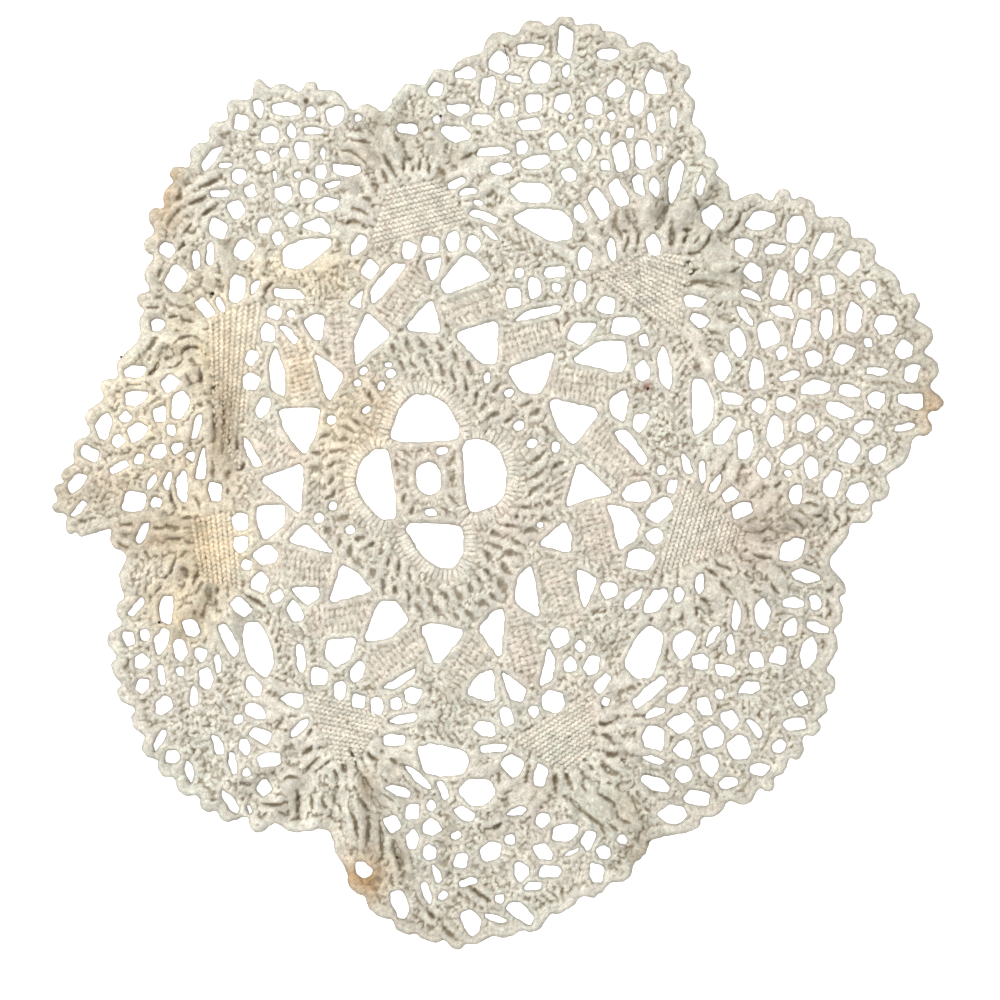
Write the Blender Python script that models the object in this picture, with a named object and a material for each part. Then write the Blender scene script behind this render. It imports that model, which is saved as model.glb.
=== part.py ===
"""A round crocheted lace doily lying on a table, worked in one piece.

Lengths in the tables are millimetres, measured from the middle of the doily
with +X to the right and +Y away from the viewer; the mesh is made in metres.
"""

import math
import random

import bpy
import numpy as np
from mathutils import Vector
from mathutils.geometry import delaunay_2d_cdt

MM = 0.001

# Cloth
THICK = 2.0  # crocheted fabric lying flat
BAND_RISE = 0.9  # extra height of the knobbly band round the middle
STRAND = 1.5  # thinnest strand left between two gaps
MIN_GAP = 4.0  # gaps whose length is under this stay closed
MAX_GAPS = 300  # the largest gaps are cut through, up to this many
GAP_SIDES = 6  # corners of one gap in the net
GAP_UNEVEN = 0.09  # how far a gap's corners stray from a true oval
GRID = 6.6  # spacing of the mesh points inside closed areas that are not flat
GRID_CLEAR = 2.4  # mesh points keep this far from every edge

# Scalloped rim
SCALLOP_DEPTH = 0.24  # depth of the dip between two tips, per mm between them
SCALLOP_MAX = 2.6  # deepest dip
TIP_WIDTH = 0.2  # half width of a tip, per mm between tips

# Scallop tips of each petal, anticlockwise from its right-hand notch: (x, y)
PETALS = {
    "top left": ((-13.5, 109), (-17, 111.8), (-28.5, 116.2), (-35.2, 119.5), (-44.2, 117.8),
                 (-51.6, 120.3), (-61, 112.8), (-65.8, 105.6), (-70.8, 99.6), (-78.4, 92.6),
                 (-79.6, 85), (-84.4, 80.2), (-86.2, 70), (-85.6, 61.5), (-88.2, 53.6),
                 (-87.2, 46)),
    "left": ((-87, 41.5), (-93.2, 35.8), (-98.8, 28.8), (-103.4, 19.4), (-107, 9.2),
             (-110.4, 1.6), (-112.8, -3), (-113.8, -9), (-108.8, -17), (-104.5, -18)),
    "bottom left": ((-95, -14.5), (-96.3, -18.5), (-92.6, -30.5), (-94.2, -38.6),
                    (-97.3, -48.3), (-95.4, -57.5), (-94.1, -65.6), (-89.5, -73.6),
                    (-86, -82.6), (-81, -88.9), (-75.2, -94.4), (-67.4, -100),
                    (-61.6, -103.2), (-51.5, -106.4), (-41, -106.6)),
    "bottom": ((-30.5, -104.6), (-28.4, -112.4), (-24.4, -122.6), (-17.8, -130),
               (-8.4, -136.8), (-0.6, -138.9), (8.4, -142.2), (14, -139.8), (22.6, -138),
               (31.6, -136.4), (41, -129.4), (50, -125.4), (60, -120.4), (65.4, -112)),
    "bottom right": ((66.2, -108.4), (79.6, -106.2), (86.4, -101), (95.4, -98), (103.2, -93.8),
                     (106, -88), (111.2, -84), (117, -75.8), (119.3, -69.8), (122.2, -63),
                     (122, -50), (123.9, -41.4), (125.8, -32.6)),
    "right": ((119, -25.6), (124.4, -18.6), (131.8, -12.8), (137.8, -5.2), (142.6, 5.2),
              (150.4, 13.8), (154.5, 22.2), (152.7, 33.6), (151.2, 43.6), (146.4, 54.4),
              (139.8, 60.6), (133.2, 71), (124.8, 78), (113.2, 83.7), (106.4, 87.4),
              (96.2, 85.4)),
    "top right": ((90.4, 82.6), (90, 87.4), (86.2, 95), (82.4, 102), (79.4, 112.8),
                  (79, 122.8), (73.2, 128.7), (66.2, 130.6), (55.8, 133.6), (50.2, 136.1),
                  (41.2, 138.9), (30, 137.3), (18.4, 133.8), (10.2, 125.8), (2.2, 123.1),
                  (-8.6, 117.8)),
}

# Windows with corners of their own, anticlockwise or clockwise: name, corners
ARCHES = {  # four arches round the frame of the middle ring
    "top": ((-12.6, 10.6), (-9.4, 20.6), (-5.4, 25), (0.6, 25), (5.6, 21.2), (9, 15),
            (8.2, 11.3)),
    "right": ((9.8, 11.2), (15.6, 11.8), (20.4, 8.8), (23.2, 2.4), (22.2, -5), (20, -8),
              (12, -10.9), (10.4, -3)),
    "bottom": ((-8.4, -13.4), (9, -14), (10, -17), (10, -22.6), (7.4, -27), (2.6, -27),
               (-2.4, -23.4)),
    "left": ((-12.6, 8.6), (-16.4, 8.8), (-21, 4.6), (-22.3, -1), (-20.4, -6.4),
             (-14.8, -12.2), (-10.1, -12.7), (-10.4, -5)),
}
EYELET = (-0.4, -0.2, 9.7, 7.4, 96.0)  # hole of the middle ring: x, y, length, width, tilt

# Sixteen three-cornered windows between the bars, clockwise from the top
TRIANGLES = (
    ((0.6, 54.4), (-7.8, 44.6), (3.4, 43.2)),
    ((20.6, 47.6), (7.0, 43.4), (15.2, 34.4), (20.2, 34.2)),
    ((38.0, 38.4), (22.8, 32.8), (27.6, 25.6), (33.6, 25.4)),
    ((51.4, 20.4), (35.4, 24.0), (38.6, 14.4), (43.4, 9.6)),
    ((55.4, -4.6), (44.6, 5.4), (40.4, -8.8), (48.0, -6.2)),
    ((42.4, -22.6), (42.6, -17.4), (40.4, -12.8), (32.2, -20.0)),
    ((33.2, -42.4), (25.2, -37.4), (26.4, -29.6), (30.6, -25.8)),
    ((21.4, -55.0), (14.4, -45.2), (19.0, -40.0), (22.4, -39.2)),
    ((2.0, -56.8), (-3.0, -44.6), (1.0, -43.6), (10.8, -45.8)),
    ((-20.0, -49.2), (-15.4, -37.0), (-10.0, -37.0), (-6.2, -42.8), (-12.0, -48.0)),
    ((-30.6, -37.8), (-26.6, -25.8), (-22.0, -28.4), (-17.2, -34.0)),
    ((-43.4, -19.0), (-37.6, -13.6), (-33.6, -17.2), (-28.8, -22.8)),
    ((-51.2, -0.4), (-37.8, 4.8), (-38.8, -11.2), (-45.0, -5.6)),
    ((-45.8, 20.8), (-33.0, 21.2), (-34.0, 14.0), (-37.6, 6.4), (-43.4, 13.6)),
    ((-35.2, 38.2), (-25.4, 31.0), (-30.6, 22.4)),
    ((-19.0, 50.0), (-11.6, 42.8), (-17.4, 38.4), (-22.2, 33.4), (-22.8, 41.0)),
)

# Windows between the bars and the net, clockwise from the top
SURROUND = (
    ((3.0, 58.4), (10.0, 67.2), (14.2, 65.6), (18.6, 60.4), (4.8, 55.0)),
    ((24.8, 46.6), (29.2, 50.4), (39.6, 52.0), (38.6, 49.8)),
    ((41.0, 42.2), (43.4, 46.8), (50.6, 46.4), (45.6, 39.8)),
    ((42.2, 35.2), (50.4, 41.0), (58.6, 41.2), (59.2, 35.4), (57.6, 31.4)),
    ((54.0, 23.6), (58.4, 26.6), (59.8, 23.2), (58.2, 16.4), (54.2, 19.4)),
    ((54.8, 13.8), (59.2, 14.6), (65.6, 5.6), (63.8, 3.4)),
    ((57.4, -4.8), (60.2, -1.6), (65.0, -0.8), (66.8, -4.6), (64.4, -7.2), (58.4, -6.8)),
    ((52.8, -7.8), (60.0, -9.2), (63.2, -13.4), (61.8, -18.6), (56.8, -21.8), (55.2, -14.0)),
    ((43.6, -26.8), (50.4, -30.4), (46.2, -40.2)),
    ((35.4, -50.8), (37.8, -54.6), (36.4, -61.0), (32.8, -62.6)),
    ((21.4, -58.0), (24.6, -60.0), (29.2, -63.6), (27.6, -67.2), (24.0, -66.4)),
    ((10.8, -64.8), (14.4, -59.0), (19.2, -57.4), (19.2, -67.6)),
    ((-15.0, -63.2), (-4.2, -56.8), (-4.8, -59.4), (-10.4, -63.4)),
    ((-30.8, -48.6), (-21.8, -48.0), (-24.0, -54.4), (-28.6, -57.2), (-31.8, -53.0)),
    ((-42.0, -33.0), (-33.8, -32.6), (-33.0, -35.6), (-37.2, -38.4)),
    ((-52.0, -8.4), (-43.6, -8.0), (-43.8, -14.2), (-49.8, -19.0), (-52.2, -12.8)),
    ((-56.2, 12.4), (-54.4, 11.2), (-50.2, 3.4), (-52.6, 3.4), (-55.4, 7.6)),
    ((-46.4, 39.8), (-48.2, 34.8), (-47.8, 26.6), (-43.6, 24.2), (-43.6, 31.6)),
    ((-38.2, 47.0), (-35.4, 49.0), (-31.6, 48.8), (-32.4, 41.2), (-35.0, 41.8)),
    ((-24.4, 52.4), (-20.0, 57.0), (-20.8, 51.0)),
    ((-17.4, 52.4), (-18.0, 56.6), (-11.2, 64.4), (-6.8, 64.2), (-15.4, 53.4)),
    ((-1.6, 65.0), (3.6, 66.4), (2.4, 61.0), (0.4, 59.2)),
)

# Large openings where each petal starts
EYES = (
    ((-44.4, 68.8), (-38.6, 71.6), (-30.0, 72.0), (-29.4, 69.8), (-38.8, 62.4), (-44.0, 63.6)),
    ((-38.8, 75.8), (-32.8, 78.4), (-29.8, 75.2), (-30.4, 73.2), (-36.8, 74.8)),
    ((24.2, 78.0), (29.4, 80.8), (39.0, 80.8), (43.0, 76.6), (42.6, 71.8), (36.0, 71.0)),
    ((23.6, 86.4), (27.2, 88.8), (33.6, 88.6), (36.2, 86.4), (36.0, 82.8), (27.4, 82.8)),
    ((78.6, 30.0), (82.8, 29.4), (85.2, 23.4), (84.8, 16.8), (79.0, 12.2)),
    ((66.0, -43.8), (70.2, -47.2), (69.0, -53.2), (66.4, -60.2), (62.2, -60.2),
     (58.0, -56.2), (61.6, -48.4)),
    ((77.4, -45.6), (80.2, -47.8), (77.6, -53.0), (75.0, -54.8), (72.8, -50.6), (73.4, -47.6)),
    ((-4.0, -81.0), (0.0, -79.8), (10.6, -82.0), (11.8, -85.4), (9.8, -89.0), (4.4, -89.8),
     (-1.8, -88.4)),
    ((8.2, -93.8), (11.4, -90.4), (18.0, -90.6), (19.8, -94.4), (17.0, -98.2), (12.0, -98.4)),
    ((-56.0, -43.6), (-51.4, -43.0), (-47.8, -50.0), (-46.8, -55.0), (-49.0, -60.8),
     (-54.2, -56.0), (-56.2, -50.0)),
    ((-63.8, -44.2), (-61.0, -43.4), (-56.8, -51.6), (-59.2, -54.4)),
    ((-70.0, 19.0), (-68.4, 19.2), (-69.6, 12.4), (-72.2, 11.4)),
    ((-67.8, 11.0), (-67.0, -0.4), (-71.0, -0.4)),
    ((-74.0, 2.6), (-72.8, 0.0), (-73.0, -7.6), (-75.6, -6.4), (-76.6, -1.0)),
)

# Sizes of the gaps in the net: letter, length along the lean, width across it
GAPS = {
    "H": (12.0, 3.8), "T": (8.8, 4.6), "t": (6.2, 3.9), "i": (6.4, 2.3),
    "W": (4.3, 8.4), "w": (3.5, 6.4), "u": (2.1, 6.2), "h": (8.6, 2.7),
    "E": (8.2, 5.6), "e": (6.8, 4.2), "L": (6.6, 6.2), "M": (5.3, 4.9),
    "S": (4.3, 4.0), "o": (2.9, 2.7),
}

# Courses of the net. Each starts at x0, y0, bends through xm, ym and ends at x1, y1; the
# gaps lean from one angle to the other (degrees from +X); '.' leaves a place closed.
# x0, y0, xm, ym, x1, y1, lean at start, lean at end, gaps
COURSES = (
    # round the wedges' inner ends
    (-18.0, 62.6, -3.0, 69.6, 13.2, 70.2, 60, 80, "MMMMtM"),
    (8.0, 88.6, 14.6, 82.6, 18.2, 73.2, 25, -45, "iiihh"),
    (24.9, 54.6, 38.0, 57.2, 52.8, 52.2, 90, 80, "MtStM"),
    (27.0, 61.8, 37.6, 61.8, 46.2, 65.1, 90, 85, "owt"),
    (59.0, 45.6, 60.0, 45.8, 61.0, 46.0, 10, 20, "E"),
    (54.7, 68.5, 61.0, 70.0, 67.2, 70.5, 95, 90, "it"),
    (79.5, 53.0, 80.0, 50.2, 80.5, 47.4, -8, -25, "tt"),
    (64.4, 41.4, 63.6, 28.0, 63.0, 16.8, 90, 75, "St.t"),
    (70.2, 33.0, 70.2, 33.0, 70.2, 33.0, 92, 92, "H"),
    (69.3, 2.4, 71.0, 0.0, 72.6, -2.8, 60, 80, "ot"),
    (68.4, -9.8, 67.6, -17.6, 63.2, -24.4, 35, 0, "EME"),
    (77.2, 3.8, 86.0, -1.6, 93.8, -9.8, 112, 25, "iiiSt"),
    (54.0, -33.6, 68.2, -36.4, 81.0, -31.8, 20, 90, "MhTti"),
    (39.0, -47.6, 45.0, -50.4, 48.6, -55.8, 20, 80, "Mot"),
    (42.2, -56.0, 37.0, -67.4, 23.0, -71.4, 90, 105, "SMLMt"),
    (51.6, -61.8, 52.2, -64.4, 52.8, -67.2, 55, 80, "to"),
    (16.6, -75.4, 17.8, -78.2, 19.0, -81.0, -20, 6, "eh"),
    (24.6, -86.1, 29.0, -88.0, 33.2, -89.8, 80, 75, "Lt"),
    (-39.0, -53.2, -39.0, -53.2, -39.0, -53.2, 95, 95, "h"),
    (-33.4, -59.4, -18.6, -68.2, -5.0, -65.2, 90, 95, "MtStSM"),
    (-21.9, -58.2, -21.9, -58.2, -21.9, -58.2, 80, 80, "t"),
    (-8.2, -72.4, -8.2, -72.4, -8.2, -72.4, 16, 16, "h"),
    (-41.4, -66.4, -41.2, -71.0, -39.0, -75.2, -5, 40, "eti"),
    (-10.4, -78.4, -12.6, -80.2, -14.4, -82.0, 0, -40, "ti"),
    (-56.8, -13.2, -55.0, -26.0, -46.0, -35.4, 90, 60, "MMSMS"),
    (-61.7, -36.5, -59.4, -37.4, -57.0, -38.6, 100, 130, "it"),
    (-49.4, -23.6, -49.4, -23.6, -49.4, -23.6, 50, 50, "L"),
    (-40.6, -40.4, -40.6, -40.4, -40.6, -40.4, 122, 122, "E"),
    (-48.9, 43.6, -54.2, 32.4, -50.2, 21.4, 80, 60, "MSMt"),
    (-46.6, 49.6, -44.2, 49.8, -41.8, 49.4, 140, 110, "SS"),
    (-42.4, 43.4, -42.4, 43.4, -42.4, 43.4, 140, 140, "i"),
    (-43.2, 55.4, -43.2, 55.4, -43.2, 55.4, 0, 0, "h"),
    (-21.4, 70.0, -21.4, 70.0, -21.4, 70.0, 50, 50, "t"),
    # top left petal
    (-65.4, 96.0, -58.8, 104.4, -51.4, 111.0, 50, 100, "hoMT"),
    (-43.0, 110.6, -32.0, 109.4, -21.6, 108.0, 90, 90, "WoLS"),
    (-48.2, 102.8, -38.2, 104.4, -28.3, 103.2, 90, 105, "Mtut"),
    (-50.0, 96.2, -41.0, 98.2, -32.0, 97.4, 85, 95, "SoMi"),
    (-61.4, 93.8, -57.2, 90.4, -54.0, 86.4, 90, 100, "uSS"),
    (-46.6, 90.6, -36.0, 91.4, -25.2, 92.2, 90, 90, "iSSW"),
    (-58.4, 80.8, -44.2, 85.2, -29.0, 88.0, 60, 90, "MSMMu"),
    (-63.0, 85.4, -63.2, 80.0, -63.6, 74.6, 90, 60, "u.M"),
    (-56.6, 75.6, -46.0, 76.6, -31.2, 82.0, 70, 20, "tMSe"),
    (-56.0, 68.4, -45.6, 71.8, -42.0, 74.2, 50, 60, "LLo"),
    (-70.2, 65.4, -68.0, 66.4, -65.8, 67.2, 92, 88, "ih"),
    (-78.8, 68.6, -78.0, 64.0, -76.4, 59.6, 150, 40, "SE"),
    (-57.6, 57.2, -55.0, 57.4, -52.4, 57.6, 95, 65, "Ti"),
    (-67.4, 50.8, -65.2, 51.4, -63.0, 52.2, 130, 115, "ti"),
    (-81.8, 46.0, -81.8, 46.0, -81.8, 46.0, 60, 60, "S"),
    # top right petal
    (1.5, 116.6, 20.6, 125.4, 40.6, 130.0, 90, 90, "MWLWT"),
    (53.6, 127.2, 61.0, 124.4, 67.2, 119.2, 90, 90, "wL"),
    (9.0, 110.8, 25.2, 119.6, 40.8, 122.0, 80, 90, "wTwLt"),
    (55.8, 116.4, 62.0, 112.4, 66.6, 106.2, 90, 92, "MTi"),
    (73.2, 108.0, 75.0, 101.6, 76.8, 95.0, 90, 100, "iT"),
    (7.6, 103.2, 27.2, 111.6, 49.2, 112.0, 85, 75, "WwSMMM"),
    (54.5, 108.6, 60.0, 103.6, 63.8, 97.0, 60, 92, "MtT"),
    (30.4, 106.2, 45.0, 107.6, 57.4, 96.0, 100, 95, "wMoMtT"),
    (13.4, 100.6, 16.4, 99.2, 19.2, 98.0, 15, 5, "ih"),
    (27.6, 99.2, 46.4, 98.8, 56.6, 85.2, 90, 108, "MMtMT"),
    (68.8, 97.4, 71.2, 93.6, 73.6, 89.6, 85, 80, "iH"),
    (62.8, 87.4, 70.0, 87.0, 81.2, 87.0, 100, 80, "Tt.i"),
    (21.6, 93.2, 37.0, 93.8, 51.0, 82.4, 95, 110, "wWST"),
    (45.0, 79.6, 45.0, 79.6, 45.0, 79.6, 122, 122, "T"),
    (84.8, 78.8, 84.8, 78.8, 84.8, 78.8, 90, 90, "L"),
    (-6.8, 104.8, -3.0, 106.0, 2.0, 107.4, 90, 60, "wo"),
    # right petal
    (99.6, 77.4, 118.6, 70.6, 131.8, 56.4, 30, 88, "EETLt"),
    (137.0, 46.4, 144.8, 31.2, 142.0, 15.2, 60, 95, "LMtWu"),
    (94.0, 69.4, 111.6, 65.0, 127.0, 48.0, 80, 85, "MWTMT"),
    (131.2, 40.4, 134.8, 27.6, 130.0, 15.2, 85, 100, "ouMw"),
    (96.6, 61.6, 112.4, 53.4, 124.0, 37.0, 90, 75, "MTtTM"),
    (96.4, 55.0, 114.0, 40.0, 112.8, 16.4, 66, 100, "uWTMWM"),
    (125.4, 26.2, 124.4, 23.4, 123.0, 20.4, 80, 80, "wW"),
    (118.5, 13.0, 125.8, 8.2, 134.0, 7.0, 60, 90, "SLM"),
    (94.6, 48.6, 107.0, 34.0, 103.8, 13.4, 125, 90, "hLMuMT"),
    (92.6, 41.0, 98.8, 27.0, 94.8, 10.0, 100, 85, "TTST"),
    (109.0, 7.4, 107.6, 1.2, 110.0, -5.0, 35, 55, "eot"),
    (114.6, 3.0, 120.8, -1.8, 128.4, -4.4, 85, 60, "tTL"),
    (87.6, 33.0, 90.6, 23.8, 88.6, 14.4, 98, 62, "TwT"),
    (100.3, 3.0, 100.3, 3.0, 100.3, 3.0, 85, 85, "t"),
    (108.6, -21.4, 108.6, -21.4, 108.6, -21.4, 35, 35, "E"),
    # bottom right petal
    (112.6, -29.5, 116.2, -41.0, 113.6, -53.0, 90, 80, "WSwT"),
    (108.4, -37.4, 108.0, -45.0, 105.2, -53.2, 90, 65, "wtM"),
    (111.2, -66.6, 109.6, -73.6, 104.8, -80.4, 100, 90, "SwS"),
    (99.6, -41.2, 98.6, -51.0, 96.0, -63.2, 90, 100, "TMSw"),
    (91.8, -42.0, 89.6, -54.0, 86.8, -65.0, 90, 80, "hiwo"),
    (84.8, -47.4, 83.0, -51.0, 81.4, -55.2, 65, 80, "iM"),
    (90.0, -72.4, 92.4, -81.0, 89.4, -91.4, 115, 100, "MLw"),
    (97.4, -75.0, 98.4, -81.0, 98.6, -87.0, 130, 95, "i.w"),
    (82.4, -68.6, 85.0, -82.0, 80.0, -95.6, 112, 92, "tLLW"),
    (74.4, -65.2, 76.0, -77.0, 76.0, -89.2, 30, 75, "eLMM"),
    (67.6, -70.4, 67.0, -81.0, 67.8, -91.6, 105, 62, "uLuW"),
    (72.6, -101.0, 65.0, -105.0, 57.4, -108.2, 0, 0, "E.o"),
    (65.4, -64.8, 65.4, -64.8, 65.4, -64.8, 38, 38, "H"),
    # bottom petal
    (-8.8, -127.8, 9.0, -133.2, 27.0, -130.0, 112, 62, "T..LuW"),
    (-1.0, -124.6, 15.0, -126.4, 33.6, -125.2, 100, 80, "io..o.u"),
    (2.0, -118.8, 26.0, -122.6, 50.2, -118.4, 105, 80, "iu.wuM"),
    (0.0, -112.0, 18.4, -117.2, 36.2, -117.8, 90, 90, "SSwMw"),
    (18.0, -112.4, 34.0, -111.8, 52.0, -112.4, 90, 110, "L.MuS"),
    (0.2, -104.8, 20.0, -108.6, 40.8, -106.0, -35, 25, "Mo.S.E"),
    (-11.0, -103.6, -8.2, -106.2, -5.2, -108.2, 115, 80, "Mt"),
    (47.6, -108.4, 52.4, -108.8, 57.2, -108.2, 70, 90, "to"),
    (-5.2, -100.4, 0.4, -98.4, 3.8, -93.4, 90, 110, "Soi"),
    (10.6, -101.0, 22.0, -99.6, 34.0, -102.8, -25, 35, "thiS"),
    (-9.4, -93.8, -6.4, -92.2, -3.2, -90.4, -18, -38, "hh"),
    (-20.0, -117.2, -20.0, -117.2, -20.0, -117.2, 130, 130, "t"),
    # bottom left petal
    (-88.0, -39.0, -89.8, -44.0, -90.6, -48.2, 60, 90, "iS"),
    (-81.0, -78.4, -77.0, -83.6, -72.0, -88.6, 70, 95, "iSi"),
    (-84.0, -38.6, -86.0, -51.0, -86.4, -62.6, 90, 90, "oMSS"),
    (-79.0, -39.2, -80.8, -54.0, -80.0, -68.4, 88, 95, "TTiM"),
    (-71.6, -45.0, -75.4, -55.0, -71.0, -65.2, 105, 90, "ttSi"),
    (-68.6, -53.0, -68.2, -56.4, -67.2, -60.0, 90, 85, "St"),
    (-63.4, -55.6, -63.4, -55.6, -63.4, -55.6, 95, 95, "i"),
    (-53.0, -62.4, -51.8, -73.6, -48.4, -84.4, -45, 0, "eeee"),
    (-57.6, -72.4, -55.8, -80.4, -54.8, -88.2, 90, 115, "Sto"),
    (-63.8, -80.4, -61.4, -83.2, -59.2, -86.0, 105, 95, "ii"),
    (-59.6, -97.4, -57.0, -98.4, -54.2, -99.2, 122, 116, "hi"),
    (-49.6, -93.0, -49.6, -93.0, -49.6, -93.0, 150, 150, "S"),
    # left petal
    (-88.6, 32.0, -98.0, 16.0, -105.8, -1.4, 95, 50, "wMTwT"),
    (-88.0, 24.2, -92.8, 14.8, -93.6, 3.2, 35, 35, "eSSi"),
    (-84.6, 22.0, -88.0, 14.0, -87.4, 5.6, 40, 60, "eMo"),
    (-77.8, 28.0, -81.2, 19.0, -84.2, 11.0, 45, 90, "MMS"),
    (-74.8, 21.6, -77.6, 14.4, -81.2, 8.2, 92, 70, "TMS"),
    (-75.8, 9.2, -73.8, 8.0, -71.8, 6.6, 30, 60, "So"),
    (-83.4, -1.0, -81.0, -1.2, -78.8, -0.8, 50, 80, "ii"),
    (-88.6, -7.0, -85.4, -7.2, -82.2, -7.2, 0, 90, "LS"),
    (-105.6, -9.4, -105.6, -9.4, -105.6, -9.4, 40, 40, "i"),
    (-64.2, -4.6, -64.2, -4.6, -64.2, -4.6, 105, 105, "t"),
    (-85.8, -16.4, -85.8, -16.4, -85.8, -16.4, 60, 60, "i"),
)

# Gathers: soft folds that fan out from the sides of the wedges.
# x, y of the gather, first angle, last angle, folds, starts at, ends at, height
GATHERS = (
    (-8.0, 78.0, 60, 160, 4, 14.0, 46.0, 4.6),
    (62.0, 58.0, 0, 116, 5, 16.0, 50.0, 4.8),
    (70.0, -16.0, -56, 16, 4, 20.0, 60.0, 4.8),
    (38.0, -72.0, -96, -8, 4, 20.0, 54.0, 4.6),
    (-26.0, -68.0, -156, -52, 5, 18.0, 62.0, 5.2),
    (-52.0, -16.0, 166, 264, 4, 16.0, 50.0, 4.8),
    (-54.0, 44.0, 100, 226, 5, 14.0, 42.0, 4.8),
)
# Waves of the rim: petals' middles are flat, the rim rises and falls between them.
RIM_START = 92.0
RIM_FULL = 128.0
RIM_HEIGHT = 2.6
RIM_WAVES = 19
TOUCH = 0.4  # cloth this close to the table rests on it


def clear():
    for thing in list(bpy.data.objects):
        bpy.data.objects.remove(thing, do_unlink=True)


def smoothstep(value):
    value = np.clip(value, 0.0, 1.0)
    return value * value * (3.0 - 2.0 * value)


def rounded(corners, cut=0.16):
    """A polygon whose every corner is cut off, so that it looks rounded."""
    points = np.array(corners, float)
    after = np.roll(points, -1, axis=0)
    out = np.empty((2 * len(points), 2))
    out[0::2] = points + (after - points) * cut
    out[1::2] = after - (after - points) * cut
    return out


def oval(x, y, length, width, tilt, sides, rng=None):
    """An oval gap with its long side leaning at tilt degrees."""
    turn = math.radians(tilt)
    points = []
    for index in range(sides):
        angle = 2 * math.pi * (index + 0.5) / sides
        reach = 1.0 + (rng.uniform(-GAP_UNEVEN, GAP_UNEVEN) if rng else 0.0)
        along = 0.5 * length * reach * math.cos(angle) * 1.06
        across = 0.5 * width * reach * math.sin(angle) * 1.06
        points.append((x + along * math.cos(turn) - across * math.sin(turn),
                       y + along * math.sin(turn) + across * math.cos(turn)))
    return np.array(points)


def rim():
    """The scalloped outline: a blunt tip, then a dip, all the way round."""
    names = list(PETALS)
    tips = [np.array(tip, float) for name in names for tip in PETALS[name]]
    notches = {id(PETALS[name][0]) for name in names}
    flat = [id(tip) for name in names for tip in PETALS[name]]
    outline = []
    for index, tip in enumerate(tips):
        before, after = tips[index - 1], tips[(index + 1) % len(tips)]
        if flat[index] in notches:
            outline.append(tip)
        else:
            outline.append(tip + (before - tip) * TIP_WIDTH)
            outline.append(tip + (after - tip) * TIP_WIDTH)
        if flat[index] in notches or flat[(index + 1) % len(tips)] in notches:
            continue
        span = after - tip
        gap = float(np.hypot(*span))
        inward = np.array((-span[1], span[0])) / gap
        outline.append(tip + span * 0.5 + inward * min(gap * SCALLOP_DEPTH, SCALLOP_MAX))
    return np.array(outline)


def anticlockwise(loop):
    x, y = loop[:, 0], loop[:, 1]
    return loop if np.dot(x, np.roll(y, -1)) > np.dot(y, np.roll(x, -1)) else loop[::-1]


def segments(loop):
    return loop, np.roll(loop, -1, axis=0)


def nearest(points, loop):
    """Least distance from each of the points to the closed loop."""
    start, end = segments(loop)
    run = end - start
    offset = points[:, None, :] - start[None, :, :]
    share = np.clip((offset * run).sum(2) / np.maximum((run * run).sum(1), 1e-9), 0, 1)
    gap = offset - share[:, :, None] * run[None, :, :]
    return np.sqrt((gap * gap).sum(2)).min(1)


def inside(points, loop):
    start, end = segments(loop)
    px, py = points[:, 0][:, None], points[:, 1][:, None]
    crosses = (start[None, :, 1] > py) != (end[None, :, 1] > py)
    rise = end[None, :, 1] - start[None, :, 1]
    rise = np.where(np.abs(rise) < 1e-12, 1e-12, rise)
    at = start[None, :, 0] + (py - start[None, :, 1]) / rise * (end - start)[None, :, 0]
    return (np.count_nonzero(crosses & (px < at), axis=1) % 2) == 1


def course_gaps():
    """Places and sizes of the gaps in every course of the net."""
    for x0, y0, xm, ym, x1, y1, lean0, lean1, letters in COURSES:
        last = max(len(letters) - 1, 1)
        bend_x, bend_y = 2 * xm - (x0 + x1) / 2, 2 * ym - (y0 + y1) / 2
        for index, letter in enumerate(letters):
            if letter == ".":
                continue
            t = index / last
            x = (1 - t) ** 2 * x0 + 2 * t * (1 - t) * bend_x + t * t * x1
            y = (1 - t) ** 2 * y0 + 2 * t * (1 - t) * bend_y + t * t * y1
            yield x, y, *GAPS[letter], lean0 + (lean1 - lean0) * t


def openings(outline):
    """Every gap that is cut through; net gaps shrink until a strand is left all round."""
    fixed = [oval(*EYELET, 10)]
    fixed += [rounded(arch) for arch in ARCHES.values()]
    fixed += [rounded(corners) for corners in TRIANGLES + SURROUND + EYES]
    rng = random.Random(11)
    gaps = list(fixed)
    for x, y, length, width, lean in sorted(course_gaps(), key=lambda gap: -gap[2] * gap[3]):
        shape = oval(0, 0, length, width, lean, GAP_SIDES, rng)
        if max(length, width) < MIN_GAP or len(gaps) == MAX_GAPS:
            break
        middle = np.array((x, y))
        if not inside(middle[None, :], outline)[0]:
            continue
        near = [loop for loop in gaps + [outline]
                if nearest(middle[None, :], loop)[0] < length + width]
        for _ in range(12):
            loop = shape + middle
            room = min(min(nearest(loop, other).min(), nearest(other, loop).min())
                       for other in near) if near else STRAND
            blocked = any(inside(middle[None, :], other)[0] for other in near
                          if other is not outline)
            if room >= STRAND and not blocked:
                gaps.append(loop)
                break
            shape = shape * 0.93
    return [anticlockwise(loop) for loop in gaps]


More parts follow.
